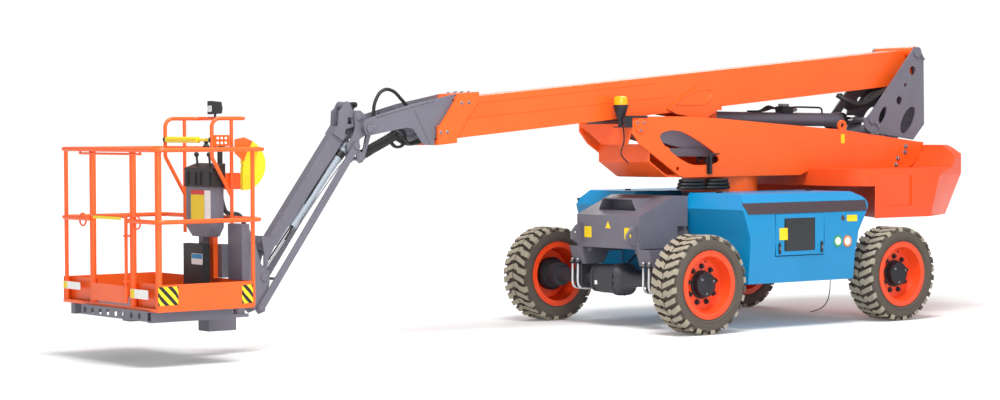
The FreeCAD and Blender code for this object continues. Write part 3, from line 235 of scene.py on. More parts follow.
def dress(material, *names, soften=0.002):
    """Gives CAD nodes their finish and the small edge radius of welded or moulded work."""
    for name in names:
        part = frame["nodes"][name]
        part.data.materials.clear()
        part.data.materials.append(material)
        if "custom_normal" in part.data.attributes:
            part.data.attributes.remove(part.data.attributes["custom_normal"])
        part.data.shade_smooth()
        weld = part.modifiers.new("weld", "WELD")
        weld.merge_threshold = 0.00005
        flat = part.modifiers.new("dissolve", "DECIMATE")
        flat.decimate_type = "DISSOLVE"
        flat.angle_limit = math.radians(0.5)
        flat.delimit = {"MATERIAL"}
        ease(part, soften, segments=2)


def ring_frame(axis):
    """Two directions square to axis and to each other."""
    first = axis.orthogonal().normalized()
    return first, axis.cross(first).normalized()


def spun(name, profile, centre, axis, material, body, steps=64, smooth=True):
    """Turned piece: profile is (radius, distance along axis), revolved about centre."""
    axis = Vector(axis).normalized()
    across, over = ring_frame(axis)
    points = []
    for i in range(steps):
        turn = 2.0 * math.pi * i / steps
        out = across * math.cos(turn) + over * math.sin(turn)
        points += [Vector(centre) + out * radius + axis * along for radius, along in profile]
    rows = len(profile)
    solid = profile[0][0] < 0.002
    faces = []
    for i in range(steps):
        a = i * rows
        b = ((i + 1) % steps) * rows
        for j in range(rows - 1 if solid else rows):
            k = (j + 1) % rows
            faces.append((a + j, b + j, b + k, a + k))
    if solid:
        faces.append([i * rows for i in reversed(range(steps))])
        faces.append([i * rows + rows - 1 for i in range(steps)])
    piece = mesh_piece(name, points, faces, material, smooth)
    if smooth:
        ease(piece, 0.001, angle=30)
    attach(piece, body)
    return piece


def heads(name, places, axis, across_flats, height, material, body, washer=True):
    """Hexagon heads on washers at each place, as one joined mesh."""
    axis = Vector(axis).normalized()
    across, over = ring_frame(axis)
    points = []
    faces = []
    for place in places:
        layers = [(6, across_flats / math.sqrt(3), height * 0.15, height)]
        if washer:
            layers.append((16, across_flats * 0.85, 0.0, height * 0.18))
        for sides, radius, low, high in layers:
            base = len(points)
            for level, shrink in ((low, 1.0), (high - 0.12 * height, 1.0), (high, 0.88)):
                for i in range(sides):
                    turn = 2.0 * math.pi * i / sides
                    out = across * math.cos(turn) + over * math.sin(turn)
                    points.append(Vector(place) + out * radius * shrink + axis * level)
            for ring in (0, sides):
                for i in range(sides):
                    j = (i + 1) % sides
                    faces.append((base + ring + i, base + ring + j,
                                  base + ring + sides + j, base + ring + sides + i))
            faces.append([base + i for i in reversed(range(sides))])
            faces.append([base + 2 * sides + i for i in range(sides)])
    piece = mesh_piece(name, points, faces, material)
    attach(piece, body)
    return piece


def ringed(centre, radius, turns, across=0.0):
    """Points about centre in the side view, one at each turn, moved across by the last value."""
    return [centre + Vector((radius * math.cos(a), across, radius * math.sin(a))) for a in turns]


# moulded rubber: a warm, dusty dark brown without shine
rubber = surface("tyre_rubber", "544D45", 0.78, ior=1.52, grain=0.35, grain_size=0.003)
# the same rubber, pale and chalky: partly rubbed by the ground, partly a painted highlight
# where the light falls on the lug tops and the tread face
scuffed_lit_tread = surface("scuffed_and_lit_tread", "9C9483", 0.88, ior=1.52, grain=0.6, grain_size=0.006)
# electroplated steel: a cool grey with a soft sheen
steel = surface("zinc_plate", "8E9196", 0.38, 0.9, grain=0.08, grain_size=0.002)
# steel blackened in oil: nearly black, with a dim metal edge
dark_steel = surface("blackened_steel", "35353A", 0.5, 0.6, grain=0.2, grain_size=0.003)
# sprayed enamel: a clear red-orange with small sharp highlights
rim_red = surface("red_orange_enamel", "F04A1C", 0.3, grain=0.05)
lugs = 16
lug_foot, lug_top, lug_root = 0.031, 0.028, 0.06
hub_cap = [(0.001, 0.03), (0.124, 0.03), (0.122, 0.042), (0.107, 0.044), (0.107, 0.094),
           (0.104, 0.1), (0.078, 0.11), (0.06, 0.116), (0.045, 0.124), (0.001, 0.124)]
for end, side, outward in (("drive", "near", -1.0), ("drive", "far", 1.0),
                           ("steer", "near", -1.0), ("steer", "far", 1.0)):
    corner = end + "_" + side
    wheel, tyre, rim = "wheel_" + corner, "tyre_" + corner, "rim_" + corner
    hub = pins[wheel + "_roll"]
    axis = (0.0, outward, 0.0)
    dress(rubber, tyre, soften=0.003)
    dress(rim_red, rim)
    low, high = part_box(tyre)
    half, tip = (high[1] - low[1]) / 2, (high[2] - low[2]) / 2
    casing = frame["nodes"][tyre].data
    # the outer band of the casing takes the pale tread rubber: part scuff, part painted highlight
    casing.materials.append(scuffed_lit_tread)
    for face in casing.polygons:
        if math.hypot(face.center.x - hub.x, face.center.z - hub.z) > tip - 0.012:
            face.material_index = 1
    # along a lug: how far from the tyre's middle, its zigzag round the tyre, its top's radius
    stations = ((0.004, 0.0, tip - 0.002), (half * 0.3, 0.012, tip - 0.001),
                (half * 0.46, -0.01, tip - 0.001), (half * 0.75, -0.004, tip - 0.001),
                (half - 0.016, 0.0, tip - 0.001), (half - 0.005, 0.0, tip - 0.01),
                (half - 0.003, 0.0, tip - 0.042))
    blocks, walls, tops = [], [], []
    for i in range(lugs):
        for hand, stagger in ((-1, 0.5), (1, 1.0)):
            middle = 2.0 * math.pi * (i + stagger) / lugs
            base = len(blocks)
            for across, zigzag, top in stations:
                shift = zigzag - outward * 0.055 * across / half
                for u, radius in ((-lug_foot, tip - lug_root), (lug_foot, tip - lug_root),
                                  (lug_top, top), (-lug_top, top)):
                    turn = middle + (u + shift) / tip
                    blocks.append(hub + Vector((radius * math.sin(turn), hand * across,
                                                radius * math.cos(turn))))
            last = base + 4 * (len(stations) - 1)
            walls += [(base, base + 1, base + 2, base + 3), (last + 3, last + 2, last + 1, last)]
            for a in range(base, last, 4):
                walls += [(a + k, a + (k + 1) % 4, a + 4 + (k + 1) % 4, a + 4 + k)
                          for k in (0, 1, 3)]
                tops.append((a + 2, a + 3, a + 7, a + 6))
    # the lug tops are pale, part scuff and part painted highlight where the light falls; the walls
    # stay dark
    tread = mesh_piece(tyre + "_blocks", blocks, tops + walls, scuffed_lit_tread)
    tread.data.materials.append(rubber)
    for face in tread.data.polygons:
        face.material_index = int(face.index >= len(tops))
    ease(tread, 0.003, weighted=False)
    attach(tread, wheel)
    for i, radius in enumerate((0.322, 0.345)):
        rib = [(radius + u, half + v) for u, v in ((-0.006, -0.012), (-0.003, -0.0005),
                                                   (0.003, -0.0005), (0.006, -0.012))]
        spun(f"{tyre}_rib_{i}", rib, hub, axis, rubber, wheel)
    spun("hub_" + corner, hub_cap, hub, axis, dark_steel, wheel)
    if end == "drive":
        spun("drum_" + side, [(0.085, -0.005), (0.15, -0.005), (0.152, -0.05), (0.13, -0.085),
                              (0.085, -0.09)], hub, axis, dark_steel, wheel)
    studs = ringed(hub, 0.158, [2.0 * math.pi * (i + 0.25) / 9 for i in range(9)], outward * 0.031)
    heads("nuts_" + corner, studs, axis, 0.03, 0.026, dark_steel, wheel)
    drains = ringed(hub, 0.075, [2.0 * math.pi * i / 3 + 0.4 for i in range(3)], outward * 0.108)
    heads("plugs_" + corner, drains, axis, 0.016, 0.008, steel, wheel)
    stem = hub + Vector((0.0, outward * 0.07, 0.205))
    spun("valve_" + corner, [(0.0005, 0.0), (0.005, 0.0), (0.005, 0.028), (0.0005, 0.03)],
         stem, (0.0, outward, -0.35), dark_steel, wheel, steps=12)


# Axles: the drive axle is a cast beam with a bolted differential housing, the steering axle a
# welded box with turning knuckles. Both are in black primer, hung by pairs of U-bolts.
def lofted(name, rings, material, body, smooth=True):
    """Closed skin over rings of equal count, capped at both ends."""
    count = len(rings[0])
    faces = [list(reversed(range(count)))]
    for i in range(len(rings) - 1):
        for j in range(count):
            k = (j + 1) % count
            faces.append((i * count + j, i * count + k, (i + 1) * count + k,
                          (i + 1) * count + j))
    faces.append([(len(rings) - 1) * count + j for j in range(count)])
    piece = mesh_piece(name, [p for ring in rings for p in ring], faces, material, smooth)
    ease(piece, 0.0015)
    if body:
        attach(piece, body)
    return piece


def hose(name, route, radius, material, body, ribs=0.0, sides=10):
    """Hose or rod swept through the points of its route; ribs is the pitch of a corrugation."""
    route = [Vector(p) for p in route]
    line = []
    for i in range(len(route) - 1):
        before = route[max(i - 1, 0)]
        a, b = route[i], route[i + 1]
        after = route[min(i + 2, len(route) - 1)]
        steps = max(2, int((b - a).length / (ribs / 2 if ribs else max(radius, 0.012))))
        for j in range(steps):
            t = j / steps
            line.append(0.5 * (2 * a + (b - before) * t + (2 * before - 5 * a + 4 * b - after)
                               * t * t + (3 * a - before - 3 * b + after) * t ** 3))
    line.append(route[-1])
    across = (line[1] - line[0]).orthogonal().normalized()
    rings = []
    for i, point in enumerate(line):
        ahead = (line[min(i + 1, len(line) - 1)] - line[max(i - 1, 0)]).normalized()
        across = (across - ahead * across.dot(ahead)).normalized()
        over = ahead.cross(across)
        size = radius * (0.8 if ribs and i % 2 else 1.0)
        rings.append([point + (across * math.cos(2 * math.pi * k / sides)
                               + over * math.sin(2 * math.pi * k / sides)) * size
                      for k in range(sides)])
    piece = lofted(name, rings, material, body)
    piece.modifiers.clear()
    return piece


def brick(name, low, high, material, body):
    """Square block between two opposite corners."""
    rings = [[Vector((x, y, z)) for x, y in ((low[0], low[1]), (high[0], low[1]),
                                             (high[0], high[1]), (low[0], high[1]))]
             for z in (low[2], high[2])]
    return lofted(name, rings, material, body, smooth=False)


# primer over a sand casting: black with a coarse skin that breaks up the light
axle_black = surface("axle_primer", "3A3A40", 0.5, 0.1, grain=0.5, grain_size=0.012, depth=0.001)
dress(axle_black, "drive_axle", "steer_axle", "steer_knuckle_near", "steer_knuckle_far")
# ground and chromed rod: mirrors the white room in long streaks
chrome = surface("hard_chrome", "C8CACC", 0.12, 1.0, grain=0.02, grain_size=0.002)
dress(chrome, "steer_rod", soften=0.001)
# zinc plate, almost white and the brightest metal here: its pale colour is a painted
# reflection of the bright room, not a different metal
zinc_painted_reflection = surface("zinc_painted_reflection", "DADCDE", 0.35, 0.3)
# printed polyester tag: plain white with a slight gloss
tag_white = surface("tag_white", "E8E8E4", 0.4)
axle_mid, axle_level = pins["wheel_drive_near_roll"].x, 0.425
corners = 3.2
rings = []
for y, half_x, half_z in ((-0.34, 0.055, 0.052), (-0.2, 0.066, 0.062), (-0.1, 0.092, 0.09),
                          (-0.075, 0.125, 0.118), (-0.045, 0.14, 0.132), (-0.045, 0.152, 0.144),
                          (-0.02, 0.152, 0.144), (-0.02, 0.138, 0.13), (0.2, 0.138, 0.128),
                          (0.25, 0.125, 0.112), (0.25, 0.138, 0.124), (0.272, 0.138, 0.124),
                          (0.272, 0.108, 0.1), (0.31, 0.088, 0.08), (0.4, 0.06, 0.056)):
    ring = []
    for i in range(36):
        c, s = math.cos(2 * math.pi * i / 36), math.sin(2 * math.pi * i / 36)
        square = (abs(c) ** corners + abs(s) ** corners) ** (-1 / corners)
        ring.append(Vector((axle_mid + half_x * c * square, y, axle_level + half_z * s * square)))
    rings.append(ring)
lofted("differential_housing", rings, axle_black, "chassis")
flange = [Vector((axle_mid + 0.142 * math.cos(a), -0.046, axle_level + 0.134 * math.sin(a)))
          for a in [math.pi * (i + 0.5) / 7 for i in range(14)]]
heads("differential_bolts", flange, (0, -1, 0), 0.016, 0.01, dark_steel, "chassis")
brick("differential_tag", (axle_mid - 0.141, 0.17, 0.375), (axle_mid - 0.136, 0.205, 0.41),
      tag_white, "chassis")
clasp = 0.13
bolt_rows = (-0.525, -0.45, 0.45, 0.525)
for end, mid, low in (("drive", axle_mid, 0.33), ("steer", pins["steer_near"].x, 0.37)):
    leg = [(clasp, 0.6), (clasp, 0.48), (clasp, low + 0.05), (0.1, low + 0.004)]
    bend = [(-x, z) for x, z in leg] + [(0.0, low - 0.01)] + leg[::-1]
    # the U-bolts take the zinc whose near-white colour is a painted reflection
    for i, y in enumerate(bolt_rows):
        hose(f"u_bolt_{end}_{i}", [(mid + x, y, z) for x, z in bend], 0.01, zinc_painted_reflection,
             "chassis")
    nuts = [Vector((mid + x, y, 0.566)) for y in bolt_rows for x in (-clasp, clasp)]
    heads(f"u_bolt_nuts_{end}", nuts, (0, 0, 1), 0.026, 0.02, steel, "chassis")
    for side in (-1, 1):
        brick(f"axle_pad_{end}_{side + 1}", (mid - 0.15, side * 0.4875 - 0.06, 0.5505),
              (mid + 0.15, side * 0.4875 + 0.06, 0.566), dark_steel, "chassis")


# Chassis: welded box of grey-enamelled plate between the axles. At the drive end two short
# legs carry the axle, and the space between them is open to the blue tank behind.
bay = axle_mid + 0.297
# sprayed enamel: a satin mid grey that darkens a little in soft patches
grey = surface("grey_enamel", "6F6E7A", 0.34, grain=0.06, worn="5F5D68", worn_size=0.35)
# gel coat from a polished mould: a deep clear blue with a wet gloss
blue = surface("blue_gelcoat", "008CC6", 0.34, grain=0.05, worn="007FB4", worn_size=0.5)
# printed vinyl: flat, even colour with a soft sheen
sticker_yellow = surface("vinyl_yellow", "EFD012", 0.4)
sticker_white = surface("vinyl_white", "EDEDEA", 0.4)


def slab(name, outline, place, right, thickness, material, body, soften=0.001, lean=0.0):
    """Flat plate: outline in (right, up) about place, raised by thickness towards someone who
    faces it with right at their right hand; lean tips it back from upright."""
    right, over = Vector(right), Vector((0, lean, 1))
    out = right.cross(over)
    rings = [[Vector(place) + right * u + over * v + out * level for u, v in outline]
             for level in (0.0, thickness)]
    piece = lofted(name, rings, material, body, smooth=False)
    piece.modifiers["edges"].width = soften
    piece.modifiers["edges"].segments = 2
    return piece


def rounded(width, height, radius, steps=4):
    """Outline of a rectangle about its middle, corners rounded."""
    points = []
    for i, (sx, sy) in enumerate(((1, -1), (1, 1), (-1, 1), (-1, -1))):
        for j in range(steps + 1):
            turn = math.pi / 2 * (i - 1 + j / steps)
            points.append((sx * (width / 2 - radius) + radius * math.cos(turn),
                           sy * (height / 2 - radius) + radius * math.sin(turn)))
    return points


dress(grey, "chassis_frame", "slew_ring", "end_cover")
frame_cut = mesh_piece("chassis_box", [], [], grey)
frame_cut.data = frame["nodes"]["chassis_frame"].data.copy()
shell = bmesh.new()
shell.from_mesh(frame_cut.data)
bmesh.ops.remove_doubles(shell, verts=shell.verts, dist=0.00005)
bmesh.ops.bisect_plane(shell, geom=shell.verts[:] + shell.edges[:] + shell.faces[:],
                       plane_co=(bay, 0, 0), plane_no=(1, 0, 0), clear_inner=True)
bmesh.ops.holes_fill(shell, edges=[e for e in shell.edges if e.is_boundary])
shell.to_mesh(frame_cut.data)
shell.free()
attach(frame_cut, "chassis")
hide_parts("chassis_frame")
plate = 0.015
for side in (-1, 1):
    leg = [(axle_mid - 0.105, 0.55), (axle_mid + 0.105, 0.55), (axle_mid + 0.2, 0.709),
           (axle_mid - 0.15, 0.709)]
    for name, start in (("inner", 0.365), ("outer", 0.535)):
        rings = [[Vector((x, side * y, z)) for x, z in leg] for y in (start, start + plate)]
        lofted(f"axle_leg_{name}_{side + 1}", rings, grey, "chassis",
               smooth=False)
    front = [[Vector((axle_mid + x - dz, side * y, 0.55 + 3.5333 * dz)) for x, y in
              ((-0.105, 0.366), (-0.105, 0.549), (-0.093, 0.549), (-0.093, 0.366))]
             for dz in (0.0, 0.045)]
    lofted(f"axle_leg_front_{side + 1}", front, grey, "chassis", smooth=False)
    brick(f"chassis_horn_{side + 1}", (axle_mid - 0.1, side * 0.33 - 0.03, 0.665),
          (bay + 0.02, side * 0.33 + 0.03, 0.7), grey, "chassis")
slab("tank_face", rounded(0.56, 0.2, 0.02), (bay - 0.02, 0, 0.6), (0, -1, 0), 0.018, blue,
     "chassis")
hose("axle_breather", [(bay - 0.02, 0.02, 0.69), (bay - 0.1, 0.05, 0.62), (bay - 0.18, 0.04, 0.56),
                       (bay - 0.24, -0.03, 0.545), (axle_mid, -0.06, 0.55)],
     0.008, strap_rubber, "chassis")


# End cover: folded sheet over the drive axle, with an air scoop and two tie-down eyes. The
# yellow squares mark the eyes; the sign above them is left plain.
face_x = axle_mid - 0.159
cover_right = (0, -1, 0)
for i, y in enumerate((0.271, -0.279)):
    slab(f"eye_mark_{i}", rounded(0.1, 0.1, 0.006), (face_x - 0.0005, y, 0.845), cover_right,
         0.0015, sticker_yellow, "chassis")
slab("cover_sign", [(-0.036, -0.03), (0.036, -0.03), (0, 0.036)],
     (face_x - 0.0005, -0.007, 0.914), cover_right, 0.0015, sticker_yellow, "chassis")
seams = [(face_x, y, z) for y in (-0.4, 0.4) for z in (0.76, 0.9)]
heads("cover_bolts", seams, (-1, 0, 0), 0.014, 0.008, steel, "chassis")


# Side pods: glass-fibre mouldings in blue gel coat over the engine and the tanks. A dark band
# runs round the top, and the near pod has a door with a tinted window over its controls.
def at(x, y, z):
    """Point given from the slew axis, on the ground, in the machine's own directions."""
    return Vector((pins["slew"].x + x, y, z))


pod_low, pod_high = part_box("pod_near")
dress(blue, "pod_near", "pod_far", "panel_door", soften=0.006)
# smooth dark vinyl: a brown-black stripe with a soft gleam
band = surface("band_vinyl", "463A3F", 0.3, grain=0.03)
# smoked acrylic, polished: nearly black, with a hard clear reflection
glass = surface("tinted_window", "161B20", 0.05, ior=1.52)
# moulded ABS with a fine leather grain: black with a broad dim highlight
black = surface("black_abs", "1D1D20", 0.42, grain=0.25, grain_size=0.002)
dress(black, "ground_controls", soften=0.004)
dress(glass, "panel_window", soften=0.001)
dress(axle_black, "engine_block", "battery_block")
for side, slot in ((-1, "pod_near"), (1, "pod_far")):
    # the band lies on the pod's rolled shoulder: at each level, how far in from the side
    points = []
    for z, inset in ((1.118, 0.0295), (1.048, 0.0085), (1.02, 0.0055)):
        front = pod_low.x - 0.002 + 0.6 * (1.12 - z)
        back = pod_high.x - 0.028 - 0.1 * max(0.0, 1.05 - z)
        points += [(x, side * (0.0012 - pod_low.y - inset), z) for x in (front, back)]
    strip = mesh_piece(f"{slot}_band", points, [(0, 1, 3, 2), (2, 3, 5, 4)], band)
    thick = strip.modifiers.new("thickness", "SOLIDIFY")
    thick.thickness = 0.0015
    thick.offset = 0.0
    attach(strip, "chassis")
door_low, door_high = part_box("panel_door")
window_mid = sum(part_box("panel_window"), Vector()) / 2
face_y = door_low.y - 0.0005
pod_right = (1, 0, 0)
slab("window_seal", rounded(0.37, 0.315, 0.03), window_mid - Vector((0, 0.004, 0)), pod_right,
     0.004, black, "panel_door", soften=0.0015)
slab("window_pane", rounded(0.345, 0.29, 0.022), window_mid - Vector((0, 0.0079, 0)), pod_right,
     0.0015, glass, "panel_door")
for i, x in enumerate((door_low.x + 0.035, door_high.x - 0.035)):
    slab(f"door_latch_{i}", rounded(0.026, 0.098, 0.01), (x, face_y, 0.713), pod_right, 0.01,
         black, "panel_door", soften=0.003)
    slab(f"door_key_{i}", rounded(0.014, 0.03, 0.006), (x, face_y - 0.01, 0.713), pod_right,
         0.004, steel, "panel_door")
# the same vinyl in two more colours, for the round signs
orange_vinyl = surface("vinyl_orange", "E8843C", 0.4)
green_vinyl = surface("vinyl_green", "3E9A5C", 0.4)
side_y = pod_low.y - 0.0004
slope_foot, slope = 0.76, 8 / 280
for name, wide, tall, corner, x, z, material, lift in (
        ("wide", 0.13, 0.057, 0.004, 0.559, 0.958, sticker_yellow, 0.0),
        ("dot", 0.05, 0.05, 0.0249, 0.444, 0.961, band, 0.0),
        ("green", 0.105, 0.105, 0.052, 0.374, 0.757, green_vinyl, 0.0),
        ("orange", 0.105, 0.105, 0.052, 0.495, 0.753, orange_vinyl, 0.0),
        ("green_core", 0.07, 0.07, 0.0349, 0.374, 0.757, sticker_white, 0.0012),
        ("orange_core", 0.07, 0.07, 0.0349, 0.495, 0.753, sticker_white, 0.0012)):
    lean = slope if z > slope_foot else 0.0
    slab("mark_" + name, rounded(wide, tall, corner),
         at(x, side_y + lean * (z - slope_foot) - lift, z), pod_right, 0.0015, material,
         "chassis", soften=0.0004, lean=lean)
slab("mark_panel", rounded(0.1, 0.105, 0.006), at(-0.305, face_y, 0.84), pod_right, 0.0015,
     sticker_yellow, "panel_door", soften=0.0004, lean=slope)
for end, x in (("front", pod_low.x + 0.2), ("rear", pod_high.x - 0.25)):
    for side, slot in ((-1, "pod_near"), (1, "pod_far")):
        spun(f"pod_hinge_{end}_{side + 1}", [(0.001, -0.03), (0.009, -0.03), (0.009, 0.03),
                                             (0.001, 0.03)],
             (x, side * 0.62, pod_high.z + 0.006), (1, 0, 0), dark_steel, "chassis",
             steps=12)


# Turret: two thick side plates with a leaf-shaped window, joined by floors and closed in
# front by a folded plate under the riser's foot. The drum below turns on the slewing ring.
pivot = pins["riser_lift"]
plate_y = 0.365
# fresh enamel over flat plate: a warm orange with small soft reflections
orange = surface("orange_enamel", "F9641F", 0.3, grain=0.06, worn="EE5716", worn_size=0.4)
dress(orange, "turret_frame", "side_box")
nose_fold = [(-1.166, 1.632), (-1.166, 1.473), (-0.955, 1.338), (-0.78, 1.338),
             (-0.78, 1.35), (-0.95, 1.35), (-1.154, 1.48), (-1.154, 1.632)]
lofted("turret_nose_plate", [[at(x, y, z) for x, z in nose_fold] for y in (-0.344, 0.344)],
       orange, "turret", smooth=False)
tail = ((2.1, 1.585), (2.09, 1.53), (1.99, 1.47), (1.965, 1.41))
for hand, side in (("near", -1), ("far", 1)):
    bolts = ringed(pivot, 0.046, (0.5, 2.6, 4.7), side * (plate_y + 0.012))
    heads(f"pivot_bolts_{side + 1}", bolts, (0, side, 0), 0.015, 0.01, steel, "turret")
    heads("tail_bolts_" + hand, [at(x, side * plate_y, z) for x, z in tail], (0, side, 0), 0.03,
          0.02, steel, "turret")
slab("lug_tag", rounded(0.05, 0.085, 0.006), at(1.24, -plate_y - 0.0003, 1.665), (1, 0, 0),
     0.0015, sticker_yellow, "turret", soften=0.0004)
lock_x, lock_y = -0.47, -plate_y - 0.028
slab("turret_lock_plate", rounded(0.06, 0.16, 0.01), at(lock_x, -plate_y, 1.44), (1, 0, 0),
     0.012, black, "turret", soften=0.003)
hose("turret_lock_pin", [at(lock_x, lock_y, z) for z in (1.36, 1.45, 1.54)], 0.014, dark_steel,
     "turret", sides=14)
hose("turret_lock_handle", [at(lock_x, lock_y, 1.53), at(lock_x + 0.04, lock_y - 0.022, 1.54),
                            at(lock_x + 0.08, lock_y - 0.022, 1.54)],
     0.007, dark_steel, "turret")
# extruded hose rubber: black, with a thin line of light along each turn
hose_black = surface("hose_rubber", "1E1D1F", 0.5, grain=0.3, grain_size=0.003)
full_turn = [k * math.pi / 6 for k in range(13)]
for i in range(6):
    middle, half_x = ((-0.64, 0.15), (-0.33, 0.14))[i % 2]
    level = 1.238 + 0.031 * (i // 2)
    loop = [at(middle + (half_x - 0.006 * i) * math.cos(a), -0.32 + 0.06 * math.sin(a), level)
            for a in full_turn]
    hose(f"slew_hose_{i}", loop, 0.0165, hose_black, "turret", ribs=0.014)


# Counterweight: one iron casting bolted to the turret's tail, painted with the machine. Its
# lower part is hollowed round the swing over the pods.
# enamel over sand-cast iron: redder than the plates, its skin slightly lumpy
red_orange = surface("casting_enamel", "F4541C", 0.34, grain=0.35, grain_size=0.02,
                     depth=0.002, worn="EC4A18", worn_size=0.5)
dress(red_orange, "counterweight", soften=0.012)


# Side box: narrow sheet-steel locker in the turret's orange enamel, on its far side plate.
# Two turn latches hold the lid.
box_low, box_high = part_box("side_box")
for i, x in enumerate((box_low.x + 0.1, box_high.x - 0.1)):
    slab(f"locker_latch_{i}", rounded(0.045, 0.07, 0.01),
         (x, box_high.y - 0.0003, box_high.z - 0.07), (-1, 0, 0), 0.008, black, "turret",
         soften=0.002)


# Beacon: amber polycarbonate dome over a black collar, on a flared grey holder. Its cable
# drops from the collar to the turret.
lens_low, lens_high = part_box("beacon_lens")
# moulded polycarbonate: glassy, with a faint painted glow all over it that stands in for
# daylight gathering inside the lens
amber = surface("amber_polycarbonate", "FFA40C", 0.1, ior=1.58)
amber_shader = amber.node_tree.nodes["Principled BSDF"]
# the emission is that painted glow
amber_shader.inputs["Emission Color"].default_value = linear("FF9A00")
amber_shader.inputs["Emission Strength"].default_value = 0.25
dress(amber, "beacon_lens", soften=0.004)
dress(dark_steel, "beacon_base", soften=0.002)
lens_mid = (lens_low + lens_high) / 2
spun("beacon_collar", [(0.062, -0.01), (0.068, -0.008), (0.068, 0.012), (0.0625, 0.014),
                       (0.0625, -0.01)], (lens_mid.x, lens_mid.y, lens_low.z), (0, 0, 1), black,
     "turret", steps=40)
for i in range(5):
    spun(f"lens_rib_{i}", [(0.0605, -0.003), (0.0632, -0.0015), (0.0632, 0.0015),
                           (0.0605, 0.003)],
         (lens_mid.x, lens_mid.y, lens_low.z + 0.022 + 0.014 * i), (0, 0, 1), amber, "turret",
         steps=40)
fall = ((0.02, -0.01, 0.18), (0.012, -0.03, 0.3), (0.03, 0.03, 0.42), (0.13, 0.05, 0.5))
hose("beacon_cable", [(lens_mid.x + x, lens_mid.y + y, lens_low.z - down) for x, y, down in fall],
     0.006, hose_black, "turret", sides=8)


# Riser, its parallel link and the upright: welded box arm and flame-cut plates in grey
# enamel. Turned pins with bolted keeper plates join them.
def pin_cap(name, place, side, radius, crown, back, face, body, steps=24):
    """Low domed cap on a pin's end; crown is the radius of its flat middle."""
    top = face + 0.003
    spun(name, [(0.001, back), (radius, back), (radius, face), (crown, top), (0.001, top)],
         place, (0, side, 0), grey, body, steps)


dress(grey, "riser_arm", "riser_link", "upright", "riser_barrel")
dress(chrome, "riser_rod", soften=0.001)
out_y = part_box("upright")[1].y
for name, joint, radius, y in (("riser", "upright_level", 0.046, 0.27),
                               ("boom", "boom_lift", 0.05, out_y),
                               ("lift", "lift_rod_swing", 0.04, out_y)):
    for side in (-1, 1):
        spot = Vector((pins[joint].x, side * y, pins[joint].z))
        pin_cap(f"{name}_pin_cap_{side + 1}", spot, side, radius, radius * 0.6, -0.006, 0.006,
                "upright", steps=32)
        keeper = spot + Vector((0.055, side * 0.001, -0.03))
        heads(f"{name}_keeper_{side + 1}", [keeper, keeper + Vector((0.03, 0, -0.035))],
              (0, side, 0), 0.018, 0.012, steel, "upright")


# Main lift cylinder: honed barrel in grey enamel with a chromed rod, and a load-holding
# valve block with hard pipes on its back.
dress(grey, "lift_barrel")
dress(chrome, "lift_rod", soften=0.001)
lift_way = Vector(next(j["axis"] for j in frame["joints"] if j["name"] == "lift_barrel_slide"))
lift_way = lift_way if lift_way.x > 0 else -lift_way
eye = pins["lift_rod_swing"]
lift_up = Vector((-lift_way.z, 0, lift_way.x))


def on_lift(back, above, y=0.0):
    """Point on the lift cylinder: back from the rod's pin, above its middle line."""
    return eye - lift_way * back + lift_up * above + Vector((0, y, 0))


for name, half, low, high, ends, material in (
        ("lift_valve", 0.05, 0.06, 0.12, (0.97, 0.83), dark_steel),
        ("lift_valve_cap", 0.035, 0.12, 0.145, (0.95, 0.87), steel)):
    rings = [[on_lift(back, h, y) for y, h in ((-half, low), (half, low), (half, high),
                                               (-half, high))] for back in ends]
    lofted(name, rings, material, "lift_barrel", smooth=False)
spun("lift_cartridge", [(0.001, 0), (0.02, 0), (0.02, 0.05), (0.014, 0.052), (0.014, 0.07),
                        (0.001, 0.07)], on_lift(0.83, 0.09, -0.02), lift_way, steel,
     "lift_barrel", steps=16)
pipe = ((0.83, 0.1), (0.76, 0.115), (0.5, 0.115), (0.42, 0.11), (0.4, 0.085), (0.4, 0.06))
hose("lift_pipe_rod", [on_lift(back, above) for back, above in pipe], 0.009, dark_steel,
     "lift_barrel", sides=12)
for i, y in enumerate((-0.03, 0.0, 0.03)):
    hose(f"lift_hose_{i}", [on_lift(0.97, 0.09, y), on_lift(1.08, 0.1 + 0.01 * i, y),
                            on_lift(1.2, 0.075, y), on_lift(1.35, 0.07, y)],
         0.009, hose_black, "lift_barrel")
spun("lift_gland", [(0.036, -0.01), (0.066, -0.01), (0.072, 0.0), (0.072, 0.045), (0.066, 0.05),
                    (0.036, 0.05)], on_lift(0.168, 0), lift_way, hose_black, "lift_barrel")


# Boom: two rolled plates welded along the side into a six-cornered tube, with a bolted wear
# collar in front. A stiffener leaf is welded over the lift cylinder's bracket.
boom_pin = pins["boom_lift"]
ahead = Vector(next(j["axis"] for j in frame["joints"] if j["name"] == "telescope"))
boom_up = Vector((ahead.z, 0, -ahead.x))


def on_boom(point, y):
    """Point given from the slew axis in side view, laid on the boom's side at y."""
    return at(point[0], y, point[1])


dress(orange, "base_boom", soften=0.004)
dress(grey, "fly_boom", "nose_head")
skin = 0.15
seam_lines = (((-2.95, 1.992), (-0.9, 2.176)), ((-3.03, 1.865), (-0.72, 2.062)))
